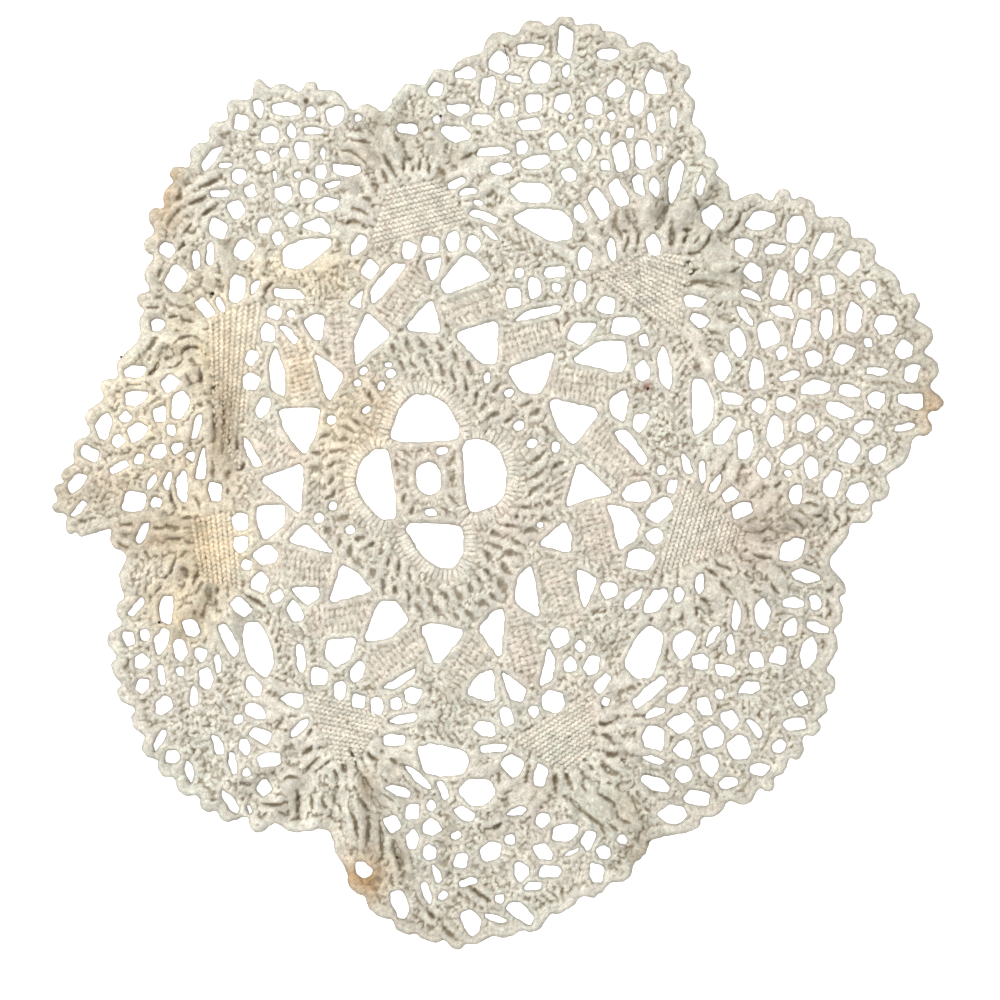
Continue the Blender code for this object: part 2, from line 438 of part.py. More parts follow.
def lift(points):
    """Height of the cloth's underside above the table, in mm."""
    x, y = points[:, 0], points[:, 1]
    height = np.zeros(len(points))
    for gx, gy, first, last, folds, near, far, rise in GATHERS:
        reach = np.hypot(x - gx, y - gy)
        middle = (first + last) / 2
        angle = np.degrees(np.arctan2(y - gy, x - gx))
        angle = (angle - middle + 180) % 360 - 180 + middle
        share = (angle - first) / (last - first)
        wave = np.sin(math.pi * folds * share) ** 2
        wave *= smoothstep((reach - near) / 8) * smoothstep((far - reach) / 14)
        height = np.maximum(height, np.where((share > 0) & (share < 1), rise * wave, 0))
    around = np.arctan2(y, x)
    out = smoothstep((np.hypot(x, y) - RIM_START) / (RIM_FULL - RIM_START))
    swing = np.sin(RIM_WAVES * around / 2 + 1.7 * np.sin(3 * around)) ** 2
    height = np.maximum(height, RIM_HEIGHT * out * swing)
    return np.where(height < TOUCH, 0.0, height)


def thickness(points):
    """The band round the four arches is worked in raised loops."""
    radius = np.hypot(points[:, 0] - 1, points[:, 1])
    band = smoothstep((radius - 26) / 3) * smoothstep((42 - radius) / 3)
    return THICK + BAND_RISE * band


def fill_points(outline, gaps):
    """Mesh points spread over the closed areas."""
    low, high = outline.min(0), outline.max(0)
    rows = []
    for row, y in enumerate(np.arange(low[1], high[1], GRID * 0.866)):
        xs = np.arange(low[0] + (row % 2) * GRID / 2, high[0], GRID)
        rows.append(np.column_stack((xs, np.full(len(xs), y))))
    points = np.concatenate(rows)
    points = points[inside(points, outline)]
    points = points[nearest(points, outline) > GRID_CLEAR]
    points = points[(lift(points) > 0.02) | (np.abs(thickness(points) - THICK) > 0.02)]
    for loop in gaps:
        close = np.abs(points - loop.mean(0)).max(1) < 40
        bad = np.zeros(len(points), bool)
        bad[close] = inside(points[close], loop) | (nearest(points[close], loop) < GRID_CLEAR)
        points = points[~bad]
    return points


def triangulate(outline, gaps, extra):
    """Triangles of the cloth seen from above, leaving out the gaps."""
    loops = [outline] + gaps
    verts, faces = [], []
    for loop in loops:
        faces.append(list(range(len(verts), len(verts) + len(loop))))
        verts += [Vector((float(x), float(y))) for x, y in loop]
    verts += [Vector((float(x), float(y))) for x, y in extra]
    out = delaunay_2d_cdt(verts, [], faces, 0, 1e-5, True)
    points = np.array([tuple(v) for v in out[0]])
    kept = [tri for tri, source in zip(out[2], out[5]) if list(source) == [0]]
    return points, kept


def doily():
    outline = rim()
    gaps = openings(outline)
    points, triangles = triangulate(outline, gaps, fill_points(outline, gaps))
    used = sorted({v for tri in triangles for v in tri})
    order = {v: n for n, v in enumerate(used)}
    points = points[used]
    faces_up = []
    for tri in triangles:
        a, b, c = (order[v] for v in tri)
        u, v = points[b] - points[a], points[c] - points[a]
        faces_up.append((a, b, c) if u[0] * v[1] - u[1] * v[0] > 0 else (a, c, b))
    under = lift(points)
    over = under + thickness(points)
    count = len(points)
    # the origin is under the middle of the whole doily, not of its middle ring
    points = points - (outline.min(0) + outline.max(0)) / 2
    verts = [(x * MM, y * MM, z * MM) for (x, y), z in zip(points, over)]
    verts += [(x * MM, y * MM, z * MM) for (x, y), z in zip(points, under)]
    faces = list(faces_up) + [(c + count, b + count, a + count) for a, b, c in faces_up]
    edges = {(a, b) for tri in faces_up for a, b in zip(tri, tri[1:] + tri[:1])}
    for a, b in sorted(edges):
        if (b, a) not in edges:
            faces += [(a, a + count, b + count), (a, b + count, b)]
    mesh = bpy.data.meshes.new("doily")
    mesh.from_pydata(verts, [], faces)
    mesh.validate()
    mesh.update()
    thing = bpy.data.objects.new("doily", mesh)
    bpy.context.scene.collection.objects.link(thing)
    print("gaps", len(gaps), "triangles", len(faces))


clear()
doily()
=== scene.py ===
"""A round crocheted lace doily in cream cotton, worked stitch by stitch on a thin base cloth.

The tables give places in millimetres on the doily's chart: the middle ring is at 0, 0, +X
is to the right and +Y away from the viewer. Meshes are made in metres, in the frame's axes.
"""

import math
import random

import bpy
import numpy as np
from mathutils import Matrix, Vector
from mathutils.geometry import delaunay_2d_cdt


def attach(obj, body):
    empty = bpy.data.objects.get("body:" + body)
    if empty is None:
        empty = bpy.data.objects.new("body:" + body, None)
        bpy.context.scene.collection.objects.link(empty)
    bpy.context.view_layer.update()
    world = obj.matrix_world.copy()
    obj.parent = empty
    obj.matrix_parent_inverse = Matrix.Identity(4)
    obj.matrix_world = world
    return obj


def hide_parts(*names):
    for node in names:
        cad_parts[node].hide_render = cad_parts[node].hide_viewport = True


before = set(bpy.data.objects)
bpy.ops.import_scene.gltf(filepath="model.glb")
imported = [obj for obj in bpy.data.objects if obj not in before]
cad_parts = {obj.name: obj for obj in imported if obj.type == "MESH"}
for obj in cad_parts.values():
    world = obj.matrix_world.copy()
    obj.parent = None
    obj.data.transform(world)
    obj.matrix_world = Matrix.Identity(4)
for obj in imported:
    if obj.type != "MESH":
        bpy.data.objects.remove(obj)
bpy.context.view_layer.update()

bl_info = {
    "name": "Lace doily",
    "version": (1, 0, 0),
    "blender": (4, 5, 0),
    "location": "3D View > Sidebar > Doily",
    "description": "Makes a crocheted cotton lace doily stitch by stitch",
    "category": "Object",
}

MM = 0.001
CELL = 0.38  # size of the chart's cells, in mm
ROUND = 1.3  # how far in from an edge the lace reaches its full thickness, in mm
BLUNT = 0.4  # height of the middle of an edge, in mm
LID = 0.1  # height of the hidden underside of the lace, in mm
LUMP = (2.0, 1.25, 0.75)  # length, width and height of one stitch of the net, in mm
STRIPS = 4  # the lace is made in this many strips, from left to right
TEETH = {"bottom": 0.5, "top right": 0.85, "bottom right": 0.85}  # shallower scallops
DIP = 4.2  # deepest dip between two scallops, in mm
STRAND = 1.5  # thinnest strand left between two gaps, in mm
SMALLER = 0.94  # a gap without room shrinks by this again and again
TRIES = 14  # how often it shrinks before it is left closed
ROUNDS = (1.0, 2.2, 3.4, 4.6)  # how far each round of stitches lies from a gap, in mm
HOLLOWS = 2400  # places tried for the short hollows between the stitches of the net
MIDDLE = 58  # reach of the middle rounds, which lie flatter than the net, in mm
CORD = 1.4  # width of the cord round a gap, in mm
BESIDE = 0.4  # gap between a wedge and a fold right beside it, in mm
SUNK = 0.5  # how far the net sinks between the cords of neighbouring gaps, in mm
DARKEST = 0.78  # the most shade in the creases of the middle, where 1 is a crease's full colour
ROSY = 0.3  # how much rosier the bars and wedges are than the net
KINDS = ("post", "rope")  # the two shapes of a single stitch
# painted shade on the lace between the worked stitches of the wedges and ribs
SHADE_BETWEEN_STITCHES = {"wedges": 0.25, "ribs": 0.2}  # how dark the lace shows between worked stitches

# Corners of the gaps in the net, each in a box of unit size
NET_SHAPES = (
    ((-0.52, 0.0), (-0.12, -0.48), (0.4, -0.42), (0.5, 0.1), (0.3, 0.46), (-0.2, 0.46)),
    ((-0.52, 0.06), (-0.2, -0.46), (0.3, -0.5), (0.52, -0.04), (0.14, 0.5), (-0.28, 0.44)),
    ((-0.46, -0.36), (0.44, -0.48), (0.5, 0.3), (0.06, 0.5), (-0.4, 0.42)),
    ((-0.5, -0.2), (0.1, -0.5), (0.5, -0.3), (0.46, 0.4), (-0.3, 0.5)),
    ((-0.5, 0.12), (-0.34, -0.44), (0.34, -0.46), (0.5, 0.16), (0.2, 0.48), (-0.3, 0.46)),
)

# Scallop tips of each petal, anticlockwise from its right-hand notch: (x, y)
PETALS = {
    "top left": ((-13.5, 109), (-17, 111.8), (-28.5, 116.2), (-35.2, 119.5), (-44.2, 117.8),
                 (-51.6, 120.3), (-61, 112.8), (-65.8, 105.6), (-70.8, 99.6), (-78.4, 92.6),
                 (-79.6, 85), (-84.4, 80.2), (-86.2, 70), (-85.6, 61.5), (-88.2, 53.6),
                 (-87.2, 46)),
    "left": ((-87, 41.5), (-93.2, 35.8), (-98.8, 28.8), (-103.4, 19.4), (-107, 9.2),
             (-110.4, 1.6), (-112.8, -3), (-113.8, -9), (-108.8, -17), (-104.5, -18)),
    "bottom left": ((-95, -14.5), (-96.3, -18.5), (-92.6, -30.5), (-94.2, -38.6),
                    (-97.3, -48.3), (-95.4, -57.5), (-94.1, -65.6), (-89.5, -73.6),
                    (-86, -82.6), (-81, -88.9), (-75.2, -94.4), (-67.4, -100),
                    (-61.6, -103.2), (-51.5, -106.4), (-41, -106.6)),
    "bottom": ((-30.5, -104.6), (-28.4, -112.4), (-24.4, -122.6), (-17.8, -130),
               (-8.4, -136.8), (-0.6, -138.9), (8.4, -142.2), (14, -139.8), (22.6, -138),
               (31.6, -136.4), (41, -129.4), (50, -125.4), (60, -120.4), (65.4, -112)),
    "bottom right": ((66.2, -108.4), (79.6, -106.2), (86.4, -101), (95.4, -98), (103.2, -93.8),
                     (106, -88), (111.2, -84), (117, -75.8), (119.3, -69.8), (122.2, -63),
                     (122, -50), (123.9, -41.4), (125.8, -32.6)),
    "right": ((119, -25.6), (124.4, -18.6), (131.8, -12.8), (137.8, -5.2), (142.6, 5.2),
              (150.4, 13.8), (154.5, 22.2), (152.7, 33.6), (151.2, 43.6), (146.4, 54.4),
              (139.8, 60.6), (133.2, 71), (124.8, 78), (113.2, 83.7), (106.4, 87.4),
              (96.2, 85.4)),
    "top right": ((90.4, 82.6), (90, 87.4), (86.2, 95), (82.4, 102), (79.4, 112.8),
                  (79, 122.8), (73.2, 128.7), (66.2, 130.6), (55.8, 133.6), (50.2, 136.1),
                  (41.2, 138.9), (30, 137.3), (18.4, 133.8), (10.2, 125.8), (2.2, 123.1),
                  (-8.6, 117.8)),
}

# Windows with corners of their own, anticlockwise or clockwise: name, corners
ARCHES = {  # four arches round the frame of the middle ring
    "top": ((-12.6, 10.6), (-9.4, 20.6), (-5.4, 25), (0.6, 25), (5.6, 21.2), (9, 15),
            (8.2, 11.3)),
    "right": ((9.8, 11.2), (15.6, 11.8), (20.4, 8.8), (23.2, 2.4), (22.2, -5), (20, -8),
              (12, -10.9), (10.4, -3)),
    "bottom": ((-8.4, -13.4), (9, -14), (10, -17), (10, -22.6), (7.4, -27), (2.6, -27),
               (-2.4, -23.4)),
    "left": ((-12.6, 8.6), (-16.4, 8.8), (-21, 4.6), (-22.3, -1), (-20.4, -6.4),
             (-14.8, -12.2), (-10.1, -12.7), (-10.4, -5)),
}
EYELET = (-0.4, -0.2, 9.7, 7.4, 96.0)  # hole of the middle ring: x, y, length, width, tilt

# Sixteen three-cornered windows between the bars, clockwise from the top
TRIANGLES = (
    ((0.6, 54.4), (-7.8, 44.6), (3.4, 43.2)),
    ((20.6, 47.6), (7, 43.4), (15.2, 34.4), (20.2, 34.2)),
    ((38, 38.4), (22.8, 32.8), (27.6, 25.6), (33.6, 25.4)),
    ((51.4, 20.4), (35.4, 24), (38.6, 14.4), (43.4, 9.6)),
    ((55.4, -4.6), (44.6, 5.4), (40.4, -8.8), (48, -6.2)),
    ((42.4, -22.6), (42.6, -17.4), (40.4, -12.8), (32.2, -20)),
    ((33.2, -42.4), (25.2, -37.4), (26.4, -29.6), (30.6, -25.8)),
    ((21.4, -55), (14.4, -45.2), (19, -40), (22.4, -39.2)),
    ((2, -56.8), (-3, -44.6), (1, -43.6), (10.8, -45.8)),
    ((-20, -49.2), (-15.4, -37), (-10, -37), (-6.2, -42.8), (-12, -48)),
    ((-30.6, -37.8), (-26.6, -25.8), (-22, -28.4), (-17.2, -34)),
    ((-43.4, -19), (-37.6, -13.6), (-33.6, -17.2), (-28.8, -22.8)),
    ((-51.2, -0.4), (-37.8, 4.8), (-38.8, -11.2), (-45, -5.6)),
    ((-45.8, 20.8), (-33, 21.2), (-34, 14), (-37.6, 6.4), (-43.4, 13.6)),
    ((-35.2, 38.2), (-25.4, 31), (-30.6, 22.4)),
    ((-19, 50), (-11.6, 42.8), (-17.4, 38.4), (-22.2, 33.4), (-22.8, 41)),
)

# Windows between the bars and the net, clockwise from the top
SURROUND = (
    ((3, 58.4), (10, 67.2), (14.2, 65.6), (18.6, 60.4), (4.8, 55)),
    ((24.8, 46.6), (29.2, 50.4), (39.6, 52), (38.6, 49.8)),
    ((41, 42.2), (43.4, 46.8), (50.6, 46.4), (45.6, 39.8)),
    ((42.2, 35.2), (50.4, 41), (58.6, 41.2), (59.2, 35.4), (57.6, 31.4)),
    ((54, 23.6), (58.4, 26.6), (59.8, 23.2), (58.2, 16.4), (54.2, 19.4)),
    ((54.8, 13.8), (59.2, 14.6), (65.6, 5.6), (63.8, 3.4)),
    ((57.4, -4.8), (60.2, -1.6), (65, -0.8), (66.8, -4.6), (64.4, -7.2), (58.4, -6.8)),
    ((52.8, -7.8), (60, -9.2), (63.2, -13.4), (61.8, -18.6), (56.8, -21.8), (55.2, -14)),
    ((43.6, -26.8), (50.4, -30.4), (46.2, -40.2)),
    ((35.4, -50.8), (37.8, -54.6), (36.4, -61), (32.8, -62.6)),
    ((21.4, -58), (24.6, -60), (29.2, -63.6), (27.6, -67.2), (24, -66.4)),
    ((10.8, -64.8), (14.4, -59), (19.2, -57.4), (19.2, -67.6)),
    ((-15, -63.2), (-4.2, -56.8), (-4.8, -59.4), (-10.4, -63.4)),
    ((-30.8, -48.6), (-21.8, -48), (-24, -54.4), (-28.6, -57.2), (-31.8, -53)),
    ((-42, -33), (-33.8, -32.6), (-33, -35.6), (-37.2, -38.4)),
    ((-52, -8.4), (-43.6, -8), (-43.8, -14.2), (-49.8, -19), (-52.2, -12.8)),
    ((-56.2, 12.4), (-54.4, 11.2), (-50.2, 3.4), (-52.6, 3.4), (-55.4, 7.6)),
    ((-46.4, 39.8), (-48.2, 34.8), (-47.8, 26.6), (-43.6, 24.2), (-43.6, 31.6)),
    ((-38.2, 47), (-35.4, 49), (-31.6, 48.8), (-32.4, 41.2), (-35, 41.8)),
    ((-24.4, 52.4), (-20, 57), (-20.8, 51)),
    ((-17.4, 52.4), (-18, 56.6), (-11.2, 64.4), (-6.8, 64.2), (-15.4, 53.4)),
    ((-1.6, 65), (3.6, 66.4), (2.4, 61), (0.4, 59.2)),
)

# Large openings where each petal starts
EYES = (
    ((-44.4, 68.8), (-38.6, 71.6), (-30, 72), (-29.4, 69.8), (-38.8, 62.4), (-44, 63.6)),
    ((-38.8, 75.8), (-32.8, 78.4), (-29.8, 75.2), (-30.4, 73.2), (-36.8, 74.8)),
    ((24.2, 78), (29.4, 80.8), (39, 80.8), (43, 76.6), (42.6, 71.8), (36, 71)),
    ((23.6, 86.4), (27.2, 88.8), (33.6, 88.6), (36.2, 86.4), (36, 82.8), (27.4, 82.8)),
    ((78.6, 30), (82.8, 29.4), (85.2, 23.4), (84.8, 16.8), (79, 12.2)),
    ((66, -43.8), (70.2, -47.2), (69, -53.2), (66.4, -60.2), (62.2, -60.2), (58, -56.2),
     (61.6, -48.4)),
    ((77.4, -45.6), (80.2, -47.8), (77.6, -53), (75, -54.8), (72.8, -50.6), (73.4, -47.6)),
    ((-4, -81), (0, -79.8), (10.6, -82), (11.8, -85.4), (9.8, -89), (4.4, -89.8), (-1.8, -88.4)),
    ((8.2, -93.8), (11.4, -90.4), (18, -90.6), (19.8, -94.4), (17, -98.2), (12, -98.4)),
    ((-56, -43.6), (-51.4, -43), (-47.8, -50), (-46.8, -55), (-49, -60.8), (-54.2, -56),
     (-56.2, -50)),
    ((-63.8, -44.2), (-61, -43.4), (-56.8, -51.6), (-59.2, -54.4)),
    ((-70, 19), (-68.4, 19.2), (-69.6, 12.4), (-72.2, 11.4)),
    ((-67.8, 11), (-67, -0.4), (-71, -0.4)),
    ((-74, 2.6), (-72.8, 0), (-73, -7.6), (-75.6, -6.4), (-76.6, -1)),
)

# Sizes of the gaps in the net: letter, length along the lean, width across it
GAPS = {
    "H": (12.0, 3.8), "T": (8.8, 4.6), "t": (6.2, 3.9), "i": (6.4, 2.3),
    "W": (4.3, 8.4), "w": (3.5, 6.4), "u": (2.1, 6.2), "h": (8.6, 2.7),
    "E": (8.2, 5.6), "e": (6.8, 4.2), "L": (6.6, 6.2), "M": (5.3, 4.9),
    "S": (4.3, 4.0), "o": (2.9, 2.7),
}

# Courses of the net. Each starts at x0, y0, bends through xm, ym and ends at x1, y1; the
# gaps lean from one angle to the other (degrees from +X); '.' leaves a place closed.
# x0, y0, xm, ym, x1, y1, lean at start, lean at end, gaps; or, for a lone gap, x, y, lean, gap
COURSES = (
    # round the wedges' inner ends
    (-18, 62.6, -3, 69.6, 13.2, 70.2, 60, 80, "MMMMtM"),
    (8, 88.6, 14.6, 82.6, 18.2, 73.2, 25, -45, "iiihh"),
    (24.9, 54.6, 38, 57.2, 52.8, 52.2, 90, 80, "MtStM"),
    (27, 61.8, 37.6, 61.8, 46.2, 65.1, 90, 85, "owt"), (59, 45.6, 10, "E"),
    (54.7, 68.5, 61, 70, 67.2, 70.5, 95, 90, "it"),
    (79.5, 53, 80, 50.2, 80.5, 47.4, -8, -25, "tt"),
    (64.4, 41.4, 63.6, 28, 63, 16.8, 90, 75, "St.t"), (70.2, 33, 92, "H"),
    (69.3, 2.4, 71, 0, 72.6, -2.8, 60, 80, "ot"),
    (68.4, -9.8, 67.6, -17.6, 63.2, -24.4, 35, 0, "EME"),
    (77.2, 3.8, 86, -1.6, 93.8, -9.8, 112, 25, "iiiSt"),
    (54, -33.6, 68.2, -36.4, 81, -31.8, 20, 90, "MhTti"),
    (39, -47.6, 45, -50.4, 48.6, -55.8, 20, 80, "Mot"),
    (42.2, -56, 37, -67.4, 23, -71.4, 90, 105, "SMLMt"),
    (51.6, -61.8, 52.2, -64.4, 52.8, -67.2, 55, 80, "to"),
    (16.6, -75.4, 17.8, -78.2, 19, -81, -20, 6, "eh"),
    (24.6, -86.1, 29, -88, 33.2, -89.8, 80, 75, "Lt"), (-39, -53.2, 95, "h"),
    (-33.4, -59.4, -18.6, -68.2, -5, -65.2, 90, 95, "MtStSM"), (-21.9, -58.2, 80, "t"),
    (-8.2, -72.4, 16, "h"), (-41.4, -66.4, -41.2, -71, -39, -75.2, -5, 40, "eti"),
    (-10.4, -78.4, -12.6, -80.2, -14.4, -82, 0, -40, "ti"),
    (-56.8, -13.2, -55, -26, -46, -35.4, 90, 60, "MMSMS"),
    (-61.7, -36.5, -59.4, -37.4, -57, -38.6, 100, 130, "it"), (-49.4, -23.6, 50, "L"),
    (-40.6, -40.4, 122, "E"), (-48.9, 43.6, -54.2, 32.4, -50.2, 21.4, 80, 60, "MSMt"),
    (-46.6, 49.6, -44.2, 49.8, -41.8, 49.4, 140, 110, "SS"), (-42.4, 43.4, 140, "i"),
    (-43.2, 55.4, 0, "h"), (-21.4, 70, 50, "t"),
    # top left petal
    (-65.4, 96, -58.8, 104.4, -51.4, 111, 50, 100, "hoMT"),
    (-43, 110.6, -32, 109.4, -21.6, 108, 90, 90, "WoLS"),
    (-48.2, 102.8, -38.2, 104.4, -28.3, 103.2, 90, 105, "Mtut"),
    (-50, 96.2, -41, 98.2, -32, 97.4, 85, 95, "SoMi"),
    (-61.4, 93.8, -57.2, 90.4, -54, 86.4, 90, 100, "uSS"),
    (-46.6, 90.6, -36, 91.4, -25.2, 92.2, 90, 90, "iSSW"),
    (-58.4, 80.8, -44.2, 85.2, -29, 88, 60, 90, "MSMMu"),
    (-63, 85.4, -63.2, 80, -63.6, 74.6, 90, 60, "u.M"),
    (-56.6, 75.6, -46, 76.6, -31.2, 82, 70, 20, "tMSe"),
    (-56, 68.4, -45.6, 71.8, -42, 74.2, 50, 60, "LLo"),
    (-70.2, 65.4, -68, 66.4, -65.8, 67.2, 92, 88, "ih"),
    (-78.8, 68.6, -78, 64, -76.4, 59.6, 150, 40, "SE"),
    (-57.6, 57.2, -55, 57.4, -52.4, 57.6, 95, 65, "Ti"),
    (-67.4, 50.8, -65.2, 51.4, -63, 52.2, 130, 115, "ti"), (-81.8, 46, 60, "S"),
    # top right petal
    (1.5, 116.6, 20.6, 125.4, 40.6, 130, 90, 90, "MWLWT"),
    (53.6, 127.2, 61, 124.4, 67.2, 119.2, 90, 90, "wL"),
    (9, 110.8, 25.2, 119.6, 40.8, 122, 80, 90, "wTwLt"),
    (55.8, 116.4, 62, 112.4, 66.6, 106.2, 90, 92, "MTi"),
    (73.2, 108, 75, 101.6, 76.8, 95, 90, 100, "iT"),
    (7.6, 103.2, 27.2, 111.6, 49.2, 112, 85, 75, "WwSMMM"),
    (54.5, 108.6, 60, 103.6, 63.8, 97, 60, 92, "MtT"),
    (30.4, 106.2, 45, 107.6, 57.4, 96, 100, 95, "wMoMtT"),
    (13.4, 100.6, 16.4, 99.2, 19.2, 98, 15, 5, "ih"),
    (27.6, 99.2, 46.4, 98.8, 56.6, 85.2, 90, 108, "MMtMT"),
    (68.8, 97.4, 71.2, 93.6, 73.6, 89.6, 85, 80, "iH"),
    (62.8, 87.4, 70, 87, 81.2, 87, 100, 80, "Tt.i"),
    (21.6, 93.2, 37, 93.8, 51, 82.4, 95, 110, "wWST"), (45, 79.6, 122, "T"), (84.8, 78.8, 90, "L"),
    (-6.8, 104.8, -3, 106, 2, 107.4, 90, 60, "wo"),
    # right petal
    (99.6, 77.4, 118.6, 70.6, 131.8, 56.4, 30, 88, "EETLt"),
    (137, 46.4, 144.8, 31.2, 142, 15.2, 60, 95, "LMtWu"),
    (94, 69.4, 111.6, 65, 127, 48, 80, 85, "MWTMT"),
    (131.2, 40.4, 134.8, 27.6, 130, 15.2, 85, 100, "ouMw"),
    (96.6, 61.6, 112.4, 53.4, 124, 37, 90, 75, "MTtTM"),
    (96.4, 55, 114, 40, 112.8, 16.4, 66, 100, "uWTMWM"),
    (125.4, 26.2, 124.4, 23.4, 123, 20.4, 80, 80, "wW"),
    (118.5, 13, 125.8, 8.2, 134, 7, 60, 90, "SLM"),
    (94.6, 48.6, 107, 34, 103.8, 13.4, 125, 90, "hLMuMT"),
    (92.6, 41, 98.8, 27, 94.8, 10, 100, 85, "TTST"),
    (109, 7.4, 107.6, 1.2, 110, -5, 35, 55, "eot"),
    (114.6, 3, 120.8, -1.8, 128.4, -4.4, 85, 60, "tTL"),
    (87.6, 33, 90.6, 23.8, 88.6, 14.4, 98, 62, "TwT"), (100.3, 3, 85, "t"),
    (108.6, -21.4, 35, "E"),
    # bottom right petal
    (112.6, -29.5, 116.2, -41, 113.6, -53, 90, 80, "WSwT"),
    (108.4, -37.4, 108, -45, 105.2, -53.2, 90, 65, "wtM"),
    (111.2, -66.6, 109.6, -73.6, 104.8, -80.4, 100, 90, "SwS"),
    (99.6, -41.2, 98.6, -51, 96, -63.2, 90, 100, "TMSw"),
    (91.8, -42, 89.6, -54, 86.8, -65, 90, 80, "hiwo"),
    (84.8, -47.4, 83, -51, 81.4, -55.2, 65, 80, "iM"),
    (90, -72.4, 92.4, -81, 89.4, -91.4, 115, 100, "MLw"),
    (97.4, -75, 98.4, -81, 98.6, -87, 130, 95, "i.w"),
    (82.4, -68.6, 85, -82, 80, -95.6, 112, 92, "tLLW"),
    (74.4, -65.2, 76, -77, 76, -89.2, 30, 75, "eLMM"),
    (67.6, -70.4, 67, -81, 67.8, -91.6, 105, 62, "uLuW"),
    (72.6, -101, 65, -105, 57.4, -108.2, 0, 0, "E.o"), (65.4, -64.8, 38, "H"),
    # bottom petal
    (-8.8, -127.8, 9, -133.2, 27, -130, 112, 62, "T..LuW"),
    (-1, -124.6, 15, -126.4, 33.6, -125.2, 100, 80, "io..o.u"),
    (2, -118.8, 26, -122.6, 50.2, -118.4, 105, 80, "iu.wuM"),
    (0, -112, 18.4, -117.2, 36.2, -117.8, 90, 90, "SSwMw"),
    (18, -112.4, 34, -111.8, 52, -112.4, 90, 110, "L.MuS"),
    (0.2, -104.8, 20, -108.6, 40.8, -106, -35, 25, "Mo.S.E"),
    (-11, -103.6, -8.2, -106.2, -5.2, -108.2, 115, 80, "Mt"),
    (47.6, -108.4, 52.4, -108.8, 57.2, -108.2, 70, 90, "to"),
    (-5.2, -100.4, 0.4, -98.4, 3.8, -93.4, 90, 110, "Soi"),
    (10.6, -101, 22, -99.6, 34, -102.8, -25, 35, "thiS"),
    (-9.4, -93.8, -6.4, -92.2, -3.2, -90.4, -18, -38, "hh"), (-20, -117.2, 130, "t"),
    # bottom left petal
    (-88, -39, -89.8, -44, -90.6, -48.2, 60, 90, "iS"),
    (-81, -78.4, -77, -83.6, -72, -88.6, 70, 95, "iSi"),
    (-84, -38.6, -86, -51, -86.4, -62.6, 90, 90, "oMSS"),
    (-79, -39.2, -80.8, -54, -80, -68.4, 88, 95, "TTiM"),
    (-71.6, -45, -75.4, -55, -71, -65.2, 105, 90, "ttSi"),
    (-68.6, -53, -68.2, -56.4, -67.2, -60, 90, 85, "St"), (-63.4, -55.6, 95, "i"),
    (-53, -62.4, -51.8, -73.6, -48.4, -84.4, -45, 0, "eeee"),
    (-57.6, -72.4, -55.8, -80.4, -54.8, -88.2, 90, 115, "Sto"),
    (-63.8, -80.4, -61.4, -83.2, -59.2, -86, 105, 95, "ii"),
    (-59.6, -97.4, -57, -98.4, -54.2, -99.2, 122, 116, "hi"), (-49.6, -93, 150, "S"),
    # left petal
    (-88.6, 32, -98, 16, -105.8, -1.4, 95, 50, "wMTwT"),
    (-88, 24.2, -92.8, 14.8, -93.6, 3.2, 35, 35, "eSSi"),
    (-84.6, 22, -88, 14, -87.4, 5.6, 40, 60, "eMo"),
    (-77.8, 28, -81.2, 19, -84.2, 11, 45, 90, "MMS"),
    (-74.8, 21.6, -77.6, 14.4, -81.2, 8.2, 92, 70, "TMS"),
    (-75.8, 9.2, -73.8, 8, -71.8, 6.6, 30, 60, "So"),
    (-83.4, -1, -81, -1.2, -78.8, -0.8, 50, 80, "ii"),
    (-88.6, -7, -85.4, -7.2, -82.2, -7.2, 0, 90, "LS"), (-105.6, -9.4, 40, "i"),
    (-64.2, -4.6, 105, "t"), (-85.8, -16.4, 60, "i"),
)

# Gathers: soft folds that fan out from the sides of the wedges.
# x, y of the gather, first angle, last angle, folds, starts at, ends at, height
GATHERS = (
    (-8.0, 78.0, 60, 160, 4, 14.0, 46.0, 4.6), (62.0, 58.0, 0, 116, 5, 16.0, 50.0, 4.8),
    (70.0, -16.0, -56, 16, 4, 20.0, 60.0, 4.8), (38.0, -72.0, -96, -8, 4, 20.0, 54.0, 4.6),
    (-26.0, -68.0, -156, -52, 5, 18.0, 62.0, 5.2), (-52.0, -16.0, 166, 264, 4, 16.0, 50.0, 4.8),
    (-54.0, 44.0, 100, 226, 5, 14.0, 42.0, 4.8),
)

# Waves of the rim, in mm
RIM_START = 92.0  # how far from the middle the cloth begins to rise and fall
RIM_FULL = 128.0  # how far out it does so fully
RIM_HEIGHT = 2.6  # highest rise
RIM_WAVES = 19  # how often it rises on the way round
TOUCH = 0.4  # cloth that would rise less than this lies on the table

# Small see-through places between stitches: x, y, length, width, tilt
PINHOLES = (
    (3.7, 8.2, 3.5, 2.2, 10), (0.2, -10.3, 3.2, 1.9, -8), (-11.7, 31.5, 3.0, 2.6, 40),
    (-20.1, 32.1, 2.6, 2.0, 50), (-21.9, 28.5, 2.2, 2.0, 30), (-14.7, 27.6, 2.6, 2.2, 60),
    (-19.2, 20.4, 2.6, 2.0, 20), (-29.7, 17.4, 2.8, 2.6, 0), (17.1, 30.0, 3.6, 2.0, 88),
    (23.7, 25.5, 3.0, 2.4, 20), (26.7, 15.6, 3.4, 2.6, 40), (30.6, 10.5, 3.0, 2.8, 30),
    (37.8, 9.3, 3.4, 2.4, 80), (-29.1, -8.4, 2.8, 2.6, 60), (-33.3, -12.0, 2.8, 2.8, 20),
    (-24.0, -15.6, 2.8, 2.6, 40), (-12.6, 34.0, 2.2, 1.8, 0), (33.0, -14.0, 2.0, 1.6, 30),
)

